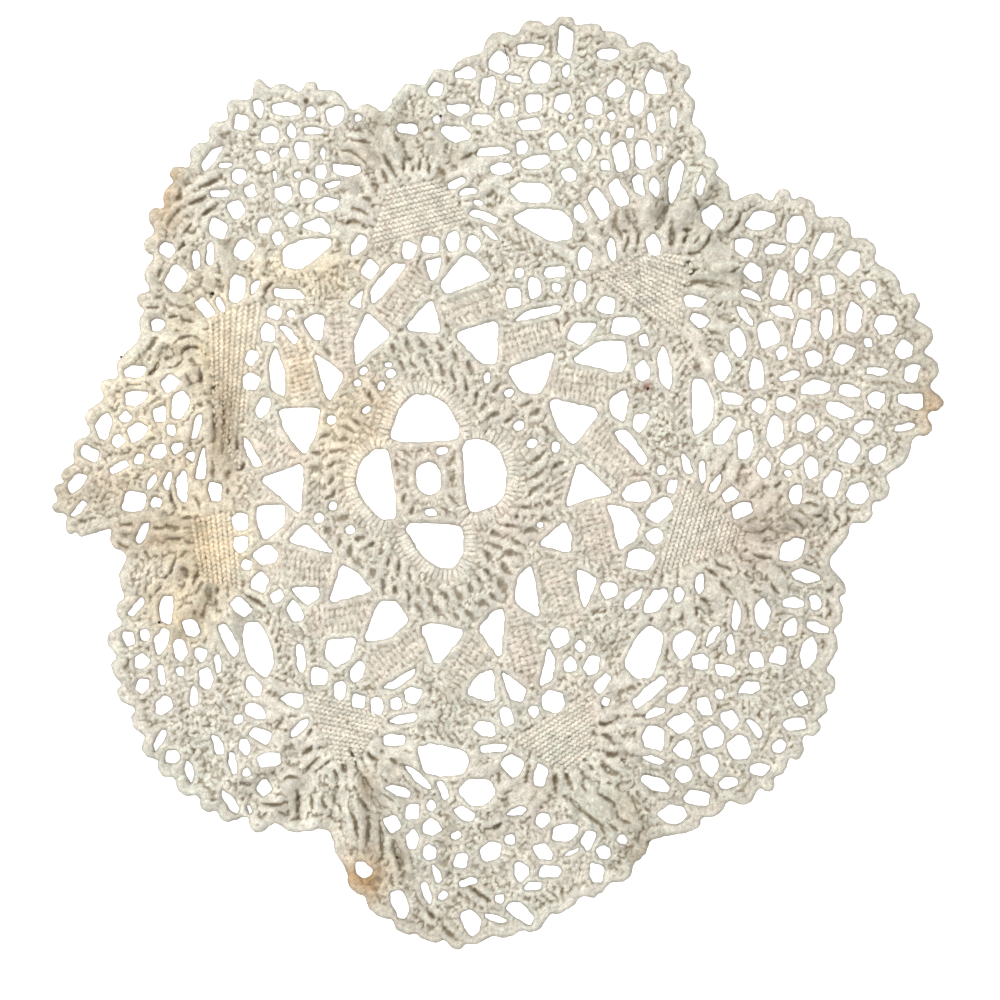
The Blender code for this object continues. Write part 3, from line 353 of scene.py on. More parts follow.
# Dark slits between strands of the middle frame: x, y, length, width, tilt
SLITS = (
    (-6.8, 7.2, 3.4, 1.2, -32), (-10.0, 4.2, 2.8, 1.9, -75), (-9.6, -1.4, 3.0, 1.6, -80),
    (6.9, -0.5, 3.6, 1.5, 80), (6.4, 5.0, 3.4, 1.3, 62), (6.9, -6.6, 3.8, 1.3, -48),
    (-5.3, -9.8, 3.0, 1.3, 78), (5.0, -9.8, 3.4, 1.2, -35), (-8.0, -6.4, 2.8, 1.1, 78),
    (-3.0, 8.2, 2.8, 0.7, 4), (-1.2, -9.2, 3.0, 0.7, -4),
)

# Cords of the middle frame: x, y, x, y, width
CORDS = (
    (-12.2, 9.3, 9.2, 10.9, 2.3), (8.5, 11.4, 10.0, -11.6, 2.3), (-9.2, -11.9, 10.2, -12.8, 2.2),
    (-11.8, 9.6, -8.6, -12.2, 2.2), (-11.4, 8.8, -5.0, 5.0, 1.7), (4.2, 5.4, 8.4, 10.6, 1.7),
    (5.2, 2.8, 9.0, 3.4, 1.5), (4.4, -5.0, 9.4, -11.8, 1.7), (-8.6, -11.6, -4.0, -5.4, 1.7),
    (-10.8, 1.4, -6.2, 1.2, 1.5), (-9.6, -4.4, -5.8, -3.6, 1.5), (5.2, -3.2, 9.6, -4.0, 1.5),
)

# Bars between the three-cornered windows, clockwise from the top:
# inner end x, y, outer end x, y, width
BARS = (
    (-13.5, 47.4, -4.5, 61.5, 9.0), (4.5, 48.0, 21.0, 54.0, 7.8), (23.4, 39.0, 40.5, 44.4, 8.4),
    (36.6, 29.4, 57.6, 26.4, 9.0), (47.4, 12.9, 60.6, 2.4, 9.6), (48.0, -6.6, 52.0, -22.0, 9.0),
    (36.9, -25.2, 42.6, -42.0, 9.0), (25.5, -40.2, 30.0, -58.2, 8.4),
    (15.0, -48.6, 4.8, -63.6, 9.0), (-4.5, -48.6, -18.6, -60.0, 8.4),
    (-16.5, -39.6, -33.0, -42.6, 9.6), (-28.5, -28.2, -47.4, -26.4, 10.2),
    (-40.2, -14.1, -52.2, -3.6, 3.0), (-39.0, 4.8, -55.5, 13.8, 9.9),
    (-37.5, 23.4, -42.0, 39.9, 8.4), (-25.5, 33.0, -27.0, 51.9, 9.0),
)

# Solid wedges, worked in rows from the inner side: the ends of the first row, then of the last
WEDGES = (
    (-18.6, 68.4, 12.3, 76.8, -12.6, 86.4, 3.0, 90.0),
    (49.8, 60.9, 75.0, 42.0, 64.0, 68.6, 79.6, 66.4),
    (76.2, -0.6, 67.8, -29.1, 94.5, -16.6, 93.5, -20.6),
    (24.6, -78.6, 48.6, -63.6, 41.1, -88.8, 49.8, -81.3),
    (-38.1, -63.9, -12.3, -70.2, -27.5, -86.1, -23.0, -86.1),
    (-58.2, -9.6, -56.4, -33.6, -72.0, -12.6, -69.0, -30.6),
    (-50.4, 52.8, -57.0, 2.0, -66.9, 48.6, -65.0, 16.0),
)

# Two rounds of folds that run out from a wedge: space for one fold, most lean to a side,
# gap between wedge and fold, length, most bend, width, height
FANS = (
    (2.3, 16, None, (5.5, 9), 1.0, 2.4, 1.2),
    (3.6, 25, (6.5, 9), (7, 12), 1.5, 4.2, 1.5),
)

# Creases between gathered strands: x, y at the start, in the middle and at the end, width
CREASES = (
    (8.3, -118.8, 12.8, -123.3, 19.5, -127.8, 1), (3, -133.8, 6, -136.8, 8.3, -138.6, 1.1),
    (-0.8, -127.8, 0, -130.8, 3, -132.3, 0.9), (15.8, -105.3, 20.3, -104.6, 21, -103, 0.9),
    (40.5, -94.8, 48, -101.6, 54.8, -106, 1), (49.5, -94, 53.3, -96.3, 55.5, -97.8, 0.8),
    (51, -103, 51.8, -105.3, 52.5, -107.6, 0.8), (-74.7, -26.7, -73.2, -27.9, -72, -29.1, 1.4),
    (-76.5, -24.9, -77.1, -27.3, -77.4, -28.5, 0.9), (-69, -27.9, -69.9, -29.7, -70.8, -30.9, 1),
    (-66, -30.9, -66.6, -33.9, -66.9, -36.3, 1.4), (-68.4, -30.3, -69, -32.7, -69.6, -34.5, 0.8),
    (-63.6, -32.1, -63.8, -33.6, -63.9, -35.1, 0.7),
    (-78.6, -14.4, -76.5, -15.3, -74.4, -14.7, 1.5), (-75.4, 71.9, -72.6, 74.7, -71.2, 76.8, 0.8),
    (-76.5, 67.6, -74.3, 69.6, -73.6, 71.6, 0.7), (-49.8, 54.3, -48.6, 57.3, -46.2, 58.8, 0.9),
    (-73.2, 51.3, -71.1, 50.4, -69.3, 49.2, 1.2), (76.2, 57, 81, 59, 92, 57.2, 1),
    (72, 75.6, 72.4, 73.2, 72.6, 70.4, 1.2), (53.6, 78, 56.4, 74.6, 58, 70.8, 1),
    (3, 93.4, 4, 91.2, 4.2, 88.6, 1.3),
    # round the top wedge
    (-14.4, 97.4, -12.4, 94.6, -10.4, 90.2, 1), (-14.2, 93.2, -13.4, 90.4, -12.2, 87.8, 1.1),
    (-2.8, 95.6, -3.2, 93.4, -3.2, 92.2, 0.9), (-0.4, 95, -0.2, 92.8, -0.2, 90.2, 0.9),
    (-5, 94, -5, 92.8, -5, 91.6, 0.6), (-8, 95, -8, 93, -8, 91.5, 0.6),
    (4, 94, 2.8, 92, 2.4, 89.4, 1.8), (8.8, 95.4, 12, 97, 15, 98.2, 0.9),
    (-17.4, 88.6, -16.2, 87, -15.8, 86, 2), (-20.8, 84, -18.6, 83.6, -16.8, 81.4, 1.1),
    (-24.6, 80.6, -20.5, 80.2, -18, 77.8, 0.7), (-26, 76, -22.6, 77, -19.6, 75.4, 1.2),
    (-23.4, 100.9, -20, 100.6, -17, 100.6, 0.9), (-26.4, 98, -23, 97.4, -19, 94, 0.7),
    (-10.4, 102.4, -10, 101.4, -9.8, 100.6, 1), (-2, 103.6, -1.2, 104.2, -0.4, 104.8, 0.7),
    # round the top right wedge
    (57.2, 74.2, 58.6, 74, 59.5, 73.4, 1.1), (59.6, 73, 59, 70, 58.2, 67.5, 0.9),
    (62.9, 73.5, 62.4, 71, 61.9, 68, 0.7), (72.3, 76, 73, 72, 72, 68, 1.8),
    (75.8, 74.8, 77.5, 74.2, 78.8, 75, 0.9), (77.4, 74, 76.6, 71.5, 75.6, 70, 0.8),
    (80.8, 72.5, 80, 71, 79.2, 70, 0.6), (83.6, 73, 83, 70.5, 81, 68.5, 0.8),
    (81, 68.2, 79, 67.4, 76.6, 67.2, 0.7), (79, 65.6, 77.6, 64.6, 76.8, 63.6, 0.8),
    (80.8, 62.6, 79, 62, 76.8, 59.6, 0.9), (81.4, 58.4, 78.8, 58.2, 76.6, 57, 0.9),
    (81.4, 58.4, 84.5, 57.6, 87, 57.4, 0.9), (92.4, 63, 91, 62, 88.6, 61.4, 0.6),
    (92.8, 79.4, 91.8, 76, 88.4, 73.4, 0.8), (78.5, 84.5, 79.8, 82.5, 81, 80.5, 0.7),
    (55.8, 80, 55.4, 77, 54.6, 73, 1.4), (71.5, 82, 70.4, 80, 69.5, 78, 1.2),
    # round the right wedge
    (93.8, -13.1, 96.5, -12.6, 98.4, -11.6, 1.7), (94.5, -16.2, 97.6, -17, 100.6, -15, 0.8),
    (100.4, -18.9, 101.8, -18.3, 103.2, -19, 0.6), (94, -22.4, 94.6, -21.6, 95, -21, 0.6),
    (96.4, -22.6, 99, -23.6, 104.4, -24.4, 0.7), (94.4, -24.6, 95.8, -25, 96.8, -25.7, 0.8),
    (85.2, -25, 88, -26.6, 92, -27.6, 0.7), (82.2, -27, 85, -28.4, 86.6, -30, 0.9),
    (86.8, -30.5, 88, -32.4, 89.6, -33.6, 0.9), (107.5, -12, 110, -13, 111.6, -14.8, 0.9),
    (112.2, -7.8, 114, -7.6, 116.6, -8.8, 0.8), (115.6, -11.6, 116.4, -11.4, 117.2, -11.4, 0.8),
    (120.6, -11, 122.6, -12.4, 122, -14.6, 0.6), (125, -11, 125.2, -13, 123, -14.8, 1),
    (102.2, -30.8, 103, -33, 105.2, -35, 0.8), (105.6, -0.6, 104.6, -2, 103.2, -3, 0.7),
    (81, -36, 82.4, -36.6, 83.4, -37.6, 0.7), (118.5, -33.6, 119.2, -33.8, 120, -33.8, 0.8),
    # round the bottom right wedge
    (51, -72, 52, -74, 56.5, -72, 0.9), (51.4, -77, 53.4, -77.6, 56, -80.6, 1.2),
    (51.4, -80.6, 54, -83, 57.4, -81.8, 1.6), (50.4, -83, 53.6, -87.4, 58, -89.2, 1.7),
    (53, -91.2, 53.8, -91.6, 54.6, -91.8, 0.9), (53.6, -96, 55, -97.4, 56, -99, 0.7),
    (57, -102.2, 58.8, -103, 60.6, -103.8, 0.7), (53, -103, 55, -104.6, 56.4, -106, 0.9),
    (62.8, -71, 64.4, -71.4, 66, -71.4, 0.7), (29, -84.4, 29.4, -87, 28.8, -89.6, 1.3),
    (36.2, -86.6, 37.6, -90, 37.6, -94, 1.7), (40.4, -88, 41.6, -91, 43.6, -95, 1.4),
    (45.6, -91.6, 46.2, -93, 47, -94.4, 0.6), (51.6, -67, 51.8, -68.4, 52.2, -69.6, 0.8),
    (65.6, -92.8, 67.2, -93.8, 68.6, -95, 1.4), (64.8, -109, 65.6, -109.4, 66.6, -109.6, 1.2),
    # round the bottom left wedge
    (-38.4, -82.8, -36.4, -81.6, -35, -80, 1.2), (-36.8, -77.6, -36, -76.4, -35.4, -75.4, 1.1),
    (-37, -87.4, -35, -85.4, -32.6, -83, 0.8), (-26.8, -84.8, -25.8, -87, -25, -88.4, 1.7),
    (-24, -80.6, -23, -84, -21.4, -88, 0.8), (-21, -83.4, -20.4, -84.4, -20, -85.4, 0.6),
    (-18.6, -81.6, -17.8, -83.6, -16, -84.4, 0.9), (-29, -87, -28, -89, -27.6, -92.4, 0.6),
    (-20.6, -89, -19, -91.6, -17.6, -94.4, 1.5), (-21, -95.6, -19.6, -98, -18, -100, 0.9),
    (-17.6, -94.8, -16, -97.6, -14.4, -98.4, 0.9), (-14.4, -94.2, -12.4, -95.4, -9.8, -97.4, 0.9),
    (-28.6, -97.6, -27, -98.6, -26.6, -101.4, 0.6), (-31.6, -96, -31.8, -97.6, -30.4, -99, 0.9),
    (-35.6, -95, -35.2, -97, -35.6, -99.8, 0.7), (-40, -93, -39.6, -97, -39.8, -102, 1),
    (-50.6, -97, -46.6, -97.8, -42.4, -96.8, 0.7), (-44.4, -91.4, -42, -89.4, -38.4, -90.4, 0.8),
    (-57, -91, -54.6, -91.6, -53.8, -91.8, 0.8), (-12, -84, -10.8, -85, -9.8, -86.4, 1.1),
    (-13.4, -90, -13, -90.8, -12.6, -91.4, 0.8), (-24, -99.9, -22, -103.5, -21.6, -110.7, 1.1),
    (-18.6, -101, -18.6, -105.9, -19.2, -110.7, 1.3),
    (-15.6, -100.5, -14.4, -108.3, -14.4, -114.3, 1.1),
    (-12, -108.3, -9.4, -113.1, -7.8, -120.3, 1.8), (-44, -75.4, -43, -75.8, -42, -75.6, 0.8),
    # round the lower left wedge
    (-78.6, -13.8, -76.8, -15, -73.4, -15.4, 1.4), (-75, -12.2, -73, -12, -70.6, -11.8, 0.7),
    (-79.8, -18.2, -77, -18.2, -73.6, -17.6, 0.8), (-73.8, -27, -73.2, -28.4, -73.8, -29.6, 2.2),
    (-76, -24.4, -76.6, -26, -78, -28, 0.9), (-70, -28.4, -70.6, -30.4, -71, -32.6, 0.8),
    (-67.2, -30.8, -68.4, -32, -68.6, -34, 0.9), (-65.4, -31.6, -65.8, -34, -65.2, -36.6, 1.5),
    (-79.6, -31.8, -81.6, -33.6, -83, -35.6, 0.7), (-92, -14, -90.4, -14, -89, -13.8, 0.6),
    (-85.4, -21.4, -85.2, -22.2, -85, -23, 0.8), (-56.6, -34.4, -52, -37, -48.6, -39, 0.8),
    (-94, -19, -92, -20.4, -89.6, -21.4, 0.8), (-60.8, -3, -60.6, -4, -60.6, -5, 0.9),
    (-78, -3, -77.6, -6, -76.4, -9, 0.8),
    # round the left wedge
    (-73.4, 51.4, -71.4, 51, -69, 48.8, 1.7), (-85.4, 51, -83, 51, -80.8, 51, 0.9),
    (-77.8, 48, -76.4, 48.4, -75, 48.4, 0.7), (-74, 47.4, -72.4, 47, -71, 47, 0.7),
    (-76.4, 44.4, -75.6, 44.2, -75, 44, 0.8), (-76.8, 39.2, -74, 42, -69.4, 42.2, 1),
    (-75, 36, -73, 39, -69, 38.8, 0.9), (-72, 36, -70.9, 35, -71, 33.4, 1.6),
    (-69, 33.6, -68.8, 31, -69, 29.4, 1), (-65.8, 25.4, -64.6, 27, -63.9, 28.8, 1.8),
    (-84.4, 38, -83, 40, -82, 42.4, 1.2), (-86, 30.6, -83, 32, -81, 36, 0.9),
    (-80, 33, -76, 33.6, -74, 36.6, 0.8), (-58.4, 13, -57.8, 10, -58.4, 7, 1),
    (-58.6, 2.4, -56.4, 3, -56, 5, 1), (-64.9, 22, -64.4, 16, -65, 8, 1.2),
    (-62.3, 24, -61.8, 14, -62.5, 6, 0.8), (-65.2, 6, -65, 2, -65.2, -2, 1),
    (-60.4, 16, -60.2, 12, -60.6, 8, 0.7),
    # between the ropes of the top left petal
    (-70.2, 87.3, -66.6, 88.2, -62.4, 90.3, 1.2), (-73.2, 81.3, -69.6, 83.1, -66.6, 84.3, 1.2),
    (-69.6, 77.7, -67.2, 79.5, -63.6, 81.9, 1.2), (-74.7, 86.7, -75, 84.3, -75.9, 82.5, 1.6),
    (-73.8, 74.7, -71.1, 73.5, -69.9, 75.9, 1), (-36.9, 113.7, -36.8, 112.8, -36.6, 111.9, 1.2),
    # the knobbly band round the arches, its upper left part
    (-19.1, 25.8, -18, 24.6, -16.9, 22, 1), (-23.4, 17.7, -21.9, 16.6, -20.4, 15.8, 0.8),
    (-26.4, 15.6, -24.2, 14.7, -22.3, 13.4, 0.9), (-27.2, 11.6, -25.7, 11.7, -24.4, 11.7, 1.2),
    (-30.4, 7.8, -28.7, 8, -26.6, 8.5, 0.8), (-31.3, 3.3, -29.6, 3.8, -27.9, 5.3, 0.8),
    (-32.8, 12.8, -31.3, 12.8, -29.8, 13.2, 0.9), (-35.6, 7.8, -34.1, 7.6, -32.6, 7.4, 1),
    (-35.6, 1.8, -34.3, 2.7, -33.2, 2, 1.8), (-9.4, 35.5, -8.4, 34.2, -7.3, 31.8, 0.8),
    (-6, 35.7, -5.1, 33.8, -3, 33.3, 0.9), (-1.7, 35.9, -0.9, 34.6, -0.2, 33.1, 0.8),
    (-7.1, 41.9, -6.8, 40.4, -6.2, 38.9, 1.2), (-2.8, 41.1, -2.2, 39.8, -1.3, 39.1, 1.4),
    (-11.6, 40, -11.1, 38.9, -10.5, 38.1, 1.2), (-9, 44.3, -8.4, 44.4, -7.9, 44.5, 0.9),
    (-31.7, 38.9, -30.6, 37.8, -29.8, 36.6, 1.1), (-17.1, 28.8, -16.7, 28.3, -16.3, 27.8, 0.9),
    # its upper right part
    (2.1, 35, 3.2, 34, 3.2, 32.3, 0.8), (3, 32, 3.9, 31.8, 4.3, 30.8, 1.4),
    (7.1, 38.1, 7.5, 36.6, 8.8, 34.4, 1.1), (11.4, 35.1, 11.8, 33.6, 12.9, 31.8, 1.3),
    (6.6, 32.5, 7.1, 30.3, 8.1, 28.2, 0.7), (10.5, 29.7, 10.9, 27.6, 11.4, 25, 0.8),
    (15, 26.7, 13.9, 24.6, 14.1, 23.3, 0.8), (14.1, 23.3, 13.5, 22.2, 12.8, 21.8, 1),
    (17.1, 22.8, 15.9, 21.1, 14.4, 19.6, 1.2), (20.8, 28.4, 19.9, 26.7, 18.6, 25.6, 1.1),
    (21, 20, 19.5, 19.2, 16.9, 18.3, 1.5), (25.3, 19, 23.8, 17.5, 22.1, 16.6, 0.8),
    (30.6, 22.8, 29.1, 22.2, 27.4, 21.3, 1), (30.4, 19.4, 31.7, 19.8, 33, 20.5, 1.6),
    (34.3, 7.8, 32.1, 5.7, 30.4, 4.8, 1.1), (34.1, 2.7, 32.4, 1, 30.6, 0.1, 1.1),
    (16.3, 13.4, 16.8, 13.6, 17.4, 13.8, 0.8), (40.7, 4.6, 38.1, 4, 37.3, 2.3, 1),
    (33, 15.6, 34.9, 14.7, 35.4, 13, 1), (4.7, 45.8, 5.2, 45.6, 5.6, 45.3, 0.8),
    (3, 40.4, 3.4, 39, 3.9, 37.8, 1.3), (38.1, 47.3, 38.5, 46.8, 38.8, 46.4, 1),
    # its lower left part
    (-29.1, 1, -29.4, -0.7, -30.6, -2, 1), (-28.7, -3.7, -29.4, -5.4, -31.7, -6.1, 1),
    (-27.6, -12.9, -25.9, -11.9, -24.6, -12.1, 1.4), (-31.3, -15.7, -30.6, -16, -30, -16.1, 1.9),
    (-22.9, -18.7, -21.4, -18.3, -19.1, -17.7, 1.2), (-18.6, -20.9, -17.6, -20, -16.3, -19.4, 1),
    (-27.2, -18.3, -27, -19.4, -27.9, -20.4, 1), (-24.2, -21.1, -24, -21.9, -24.2, -23.2, 1.5),
    (-15.4, -21.3, -14.6, -21.9, -15, -23.4, 1.3), (-12.2, -23.4, -12.4, -25.2, -13.1, -27.3, 0.8),
    (-9.6, -24.7, -9.4, -26.4, -9.6, -29.4, 0.9), (-22.1, -24.7, -21.4, -25.2, -21, -26, 2),
    (-18, -27.3, -17.1, -28.2, -17.1, -30.1, 1.6), (-6.9, -28.4, -6.2, -29.2, -6.2, -31.2, 0.8),
    (-14.6, -30.3, -13.9, -31.6, -14.1, -34, 1), (-11.1, -32.5, -10.3, -33.7, -9.9, -35, 1.3),
    (-7.1, -33.7, -6.2, -35, -6.2, -38, 0.9), (-3.8, -32.2, -3.4, -33.7, -3.3, -35, 0.9),
    (-1.3, -33.1, -0.4, -33.7, -0.1, -34.6, 0.8), (-3.9, -38, -3, -39.5, -2.1, -41, 1.1),
    # its lower right part
    (33.4, -2.4, 31.1, -3.5, 29.6, -5.4, 1.2), (27.4, -8.7, 28.5, -8.8, 30, -8.7, 0.8),
    (30.9, -8.4, 31.8, -8.4, 32.6, -8.1, 0.8), (25.3, -12.1, 26, -11.6, 26.6, -11.2, 0.8),
    (34.3, -6.7, 35.8, -7.6, 37.3, -6.5, 1.5), (33, -12.9, 34.1, -12.3, 36.4, -12.8, 1.2),
    (21.4, -14.4, 23.6, -14.2, 26.4, -14.7, 0.7), (18.4, -15.3, 19.3, -16.6, 22.5, -17.7, 1.4),
    (28.7, -16.6, 30, -15.7, 33, -16.2, 1.4), (24.9, -17.9, 26.1, -19.4, 29.1, -20.4, 1.2),
    (18.2, -19.4, 19.7, -20.4, 22.1, -20.9, 1), (22.5, -23.2, 24, -22.4, 28.3, -23.2, 1.8),
    (16.7, -21.9, 17.6, -23.2, 18.4, -24.9, 1.5), (21.2, -24.7, 22.5, -26.9, 24, -28.8, 1.7),
    (15.6, -26.9, 17.1, -28, 18.2, -29.7, 1), (14.4, -29.2, 14.8, -30.3, 15.4, -31.4, 1),
    (20.8, -30.7, 21.9, -32.2, 22.7, -34.2, 2.2), (11.6, -32, 12.2, -33.1, 13.1, -34.6, 1.5),
    (18.4, -34.2, 19.1, -35.7, 20.8, -37.2, 0.9), (8.1, -34.2, 8.8, -35.5, 9.6, -37.2, 1.3),
    (2.6, -34.4, 4.5, -35, 5.6, -37.2, 1.3), (0, -34.2, 0.3, -35, 0.6, -35.7, 0.8),
    (14.6, -38.7, 15.6, -37.6, 17.4, -37.8, 1.6), (0.9, -39.1, 2.1, -39.5, 3.2, -41.9, 1.4),
    (7.1, -40.2, 7.9, -41.5, 8.8, -42.3, 1), (10.9, -39.7, 12, -41, 13.3, -42.1, 1.2),
)

# Thick folds of their own: x, y at the start, in the middle and at the end, width, height
FOLDS = (
    (26, -97, 27, -95.4, 28, -93.4, 7, 1.7), (41, -92, 48, -96, 55, -101.5, 5.6, 1.6),
    (55.5, -94.8, 59, -100, 61.5, -105, 5.4, 1.6), (68, -80.5, 66, -77, 63, -76, 6, 1.6),
    (75.2, 80.6, 76.2, 79.2, 77, 78, 7.6, 2.3), (84.4, 68.4, 86.2, 65.4, 87.4, 62, 9, 2.3),
    (64.4, 83, 64.8, 79.5, 65.6, 76.4, 6.6, 1.7), (-15, 104.1, -12.2, 100.2, -9, 96.9, 5.6, 1.8),
    (-22.2, 99.3, -18, 96.6, -14.4, 93.3, 5.6, 1.6), (0, 99.9, 1.8, 96.3, 3, 93, 5.4, 1.8),
    (9, 93, 13.2, 93.9, 18, 94.8, 5, 1.4), (-25, 83.6, -22.2, 83.4, -18.6, 82, 5.6, 1.5),
    (-25.6, 73.4, -23.4, 72.3, -21, 71, 6.6, 1.4), (-14, -85.6, -12, -87.3, -9.4, -89, 6, 1.7),
    (-84, 78.6, -80.4, 83, -78.6, 88, 2.6, 1.3), (-76, 71, -72.6, 75.6, -67.6, 79.6, 2.4, 1.3),
    (-78.4, 73.6, -74.4, 78.6, -69.6, 82.4, 2.4, 1.3), (-73, 69.4, -69.6, 73, -66, 76, 2.4, 1.3),
    (-79.8, 76.4, -76.4, 81.4, -72, 85.6, 2.4, 1.3), (-76, 84.8, -71.6, 87, -66, 89.4, 2.4, 1.3),
    (15, 91, 25.2, 83, 22.2, 73.5, 5, 0.9), (-24, 98.5, -19, 97, -15, 94, 5, 0.9),
    (-72, 30, -70, 36, -67.8, 32.4, 2.2, 1.1), (-67.8, 32.4, -67.2, 29, -66.4, 27.5, 1.9, 1.1),
    (-66.6, 31, -64.6, 32, -62.8, 28.6, 1.9, 1.1), (-67.6, 24, -66.9, 12, -67, -2, 2.4, 1.2),
    (-57.8, 23, -58.8, 9, -58, -6, 2.6, 1.2), (-26, -100, -24.6, -108, -25.6, -116, 3, 0.7),
)

# Discoloured places, one tint over the other: x, y, half width, half height, tint, strength.
# Not all are stains: 'pale' is painted light, broad patches made paler, several of them on the
# left side, and 'shade' is painted shade in grooves, in the gathers and beside folds, with some
# broad greyer patches
TINTS = ("pale", "yellow", "brown", "orange", "pink", "shade", "rust")
STAINS_LIGHT_AND_SHADE = (
    (0, -2, 46, 46, "pink", 0.25), (-86, 24, 22, 20, "yellow", 0.5),
    (-18, 17, 8, 17, "yellow", 0.6), (-16, 21, 6, 9, "brown", 0.35),
    (-76, -38, 13, 11, "yellow", 0.75), (-73, -43, 12, 9, "brown", 0.35),
    (10, 104, 62, 20, "pale", 0.32), (-57, 10, 22, 84, "pale", 0.28),
    (-84, 20, 24, 24, "pale", 0.45), (96, 12, 30, 18, "pale", 0.28),
    (-32, -97, 26, 20, "pale", 0.5), (-56, -56, 20, 20, "pale", 0.3),
    (128, -38, 14, 34, "shade", 0.14), (86, -92, 14, 10, "shade", 0.15),
    (150, 34, 9, 34, "shade", 0.34), (-10, -137, 26, 11, "shade", 0.32),
    (-117, -8, 10, 14, "shade", 0.28), (-94, 62, 10, 12, "shade", 0.28),
    (36, 136, 44, 9, "shade", 0.25), (-71, -34, 9, 10, "yellow", 0.7),
    (-67, -33, 4, 6, "shade", 0.35), (118, 42, 34, 40, "pink", 0.25),
    (5.3, -106, 2.5, 4, "shade", 0.4), (18, -106.8, 3, 2, "shade", 0.4),
    (3.8, -115, 2, 4, "shade", 0.45), (14, -123, 5, 4, "shade", 0.3),
    (4, -134, 4, 4, "shade", 0.35), (59, -100, 5, 6, "brown", 0.25),
    (55.8, 76, 2.5, 3.5, "shade", 0.4), (69, 79.8, 2, 3.5, "shade", 0.5),
    (72.3, 73.5, 1.5, 3, "shade", 0.5), (87, 57.3, 5, 1.5, "shade", 0.45),
    (85.2, 84.9, 4, 4, "shade", 0.4), (8.4, 96.9, 2.5, 4, "shade", 0.5),
    (3.6, 90.9, 1.5, 3.5, "shade", 0.6), (-16.5, 87.3, 1.5, 2.5, "shade", 0.7),
    (-15, 107.1, 3, 5, "shade", 0.6), (-12, -87.3, 4, 3.5, "shade", 0.35),
    (-9, -113, 3, 7, "shade", 0.55), (-7.8, -120.3, 3, 5, "shade", 0.5),
    (-19.2, -92.1, 2.5, 4, "brown", 0.6), (-40.2, -99.3, 2, 5, "shade", 0.5),
    (-60.9, 70.2, 2, 2, "shade", 0.6), (-20, 96.5, 5, 4, "brown", 0.3),
    (-72, 60, 12, 8, "yellow", 0.35), (-66, -20, 15, 18, "yellow", 1.0),
    (-66, 40, 16, 24, "yellow", 0.7), (-39.5, 31, 7, 11, "yellow", 1.0),
    (-26, 14, 13, 18, "yellow", 0.7), (-40, 62, 24, 9, "yellow", 0.6),
    (-80, 86, 8, 15, "brown", 0.75), (150, 20, 6, 9, "brown", 0.8),
    (-20, -119, 8, 9, "brown", 0.75), (-108, -2, 6, 15, "brown", 0.5),
    (-95, -3, 17, 10, "brown", 0.5), (-78, 4, 24, 13, "brown", 0.42),
    # the brown band at -62, 10 and the shade at -62, 14 are painted shadow in the channel beside
    # the fold over the left wedge
    (-84, -17, 17, 9, "brown", 0.5), (-62, 10, 7, 22, "brown", 0.5),
    (-20.5, -120, 7, 7, "orange", 0.85), (-80.5, 87, 4, 10, "orange", 0.6),
    (153, 20, 4, 7, "orange", 0.5), (-30, 58, 8, 8, "brown", 0.25), (92, -4, 16, 11, "pink", 0.5),
    (100, -20, 24, 10, "pink", 0.4), (-62, 14, 5, 17, "shade", 0.8),
    (64, -112, 7, 6, "shade", 0.8), (-90, 54, 6, 8, "yellow", 0.3),
    (65.2, 27.6, 1.3, 1.5, "rust", 1.0), (-6, 104, 11, 7, "shade", 0.3),
    (84, 77, 7, 7, "shade", 0.3), (88, 60, 9, 5, "shade", 0.25), (104, -12, 12, 6, "shade", 0.35),
    (56, -100, 9, 6, "shade", 0.25), (34, -92, 8, 6, "shade", 0.25),
    (-17, -100, 7, 14, "shade", 0.3), (-84, -14, 12, 6, "shade", 0.3),
)

# Specks of lint: x, y, length, width, tilt
SPECKS = (
    (-65.1, 55.2, 1.3, 1.0, -20), (3.3, 108.2, 0.9, 0.8, 0), (42.0, -78.0, 1.1, 0.9, 30),
    (-9.9, -113.7, 0.8, 0.7, 0), (-81.0, -43.2, 0.9, 0.8, 0), (-92.7, 36.3, 0.9, 0.9, 0),
    (23.0, 126.6, 8.6, 0.25, -76), (65.4, 26.8, 1.1, 0.6, 70),
)


def linear(code, alpha=1.0):
    """An sRGB hex colour as linear red, green, blue and alpha."""
    shares = [int(code[n:n + 2], 16) / 255 for n in (1, 3, 5)]
    return tuple(s / 12.92 if s <= 0.04045 else ((s + 0.055) / 1.055) ** 2.4
                 for s in shares) + (alpha,)


def add(tree, kind, settings=None, links=None):
    """One more node, with its settings and with what feeds its inputs."""
    node = tree.nodes.new(kind)
    for name, value in (settings or {}).items():
        if isinstance(name, int) or name in node.inputs:
            node.inputs[name].default_value = value
        else:
            setattr(node, name, value)
    for name, source in (links or {}).items():
        if isinstance(source, bpy.types.Node):
            source = next(socket for socket in source.outputs if socket.enabled)
        tree.links.new(source, node.inputs[name])
    return node


def placed(name, mesh):
    """A mesh, lamp or lens as an object of the scene."""
    thing = bpy.data.objects.new(name, mesh)
    bpy.context.scene.collection.objects.link(thing)
    return thing


def blank(name):
    """A material without nodes yet, and its tree."""
    material = bpy.data.materials.new(name)
    material.use_nodes = True
    material.node_tree.nodes.clear()
    return material, material.node_tree


def smoothstep(value):
    """A share that starts and stops softly between 0 and 1."""
    value = np.clip(value, 0.0, 1.0)
    return value * value * (3.0 - 2.0 * value)


def rounded(corners, cut=0.25, times=2):
    """A polygon whose corners are cut off again and again until it is round."""
    points = np.array(corners, float)
    for _ in range(times):
        after = np.roll(points, -1, axis=0)
        out = np.empty((2 * len(points), 2))
        out[0::2] = points + (after - points) * cut
        out[1::2] = after - (after - points) * cut
        points = out
    return points


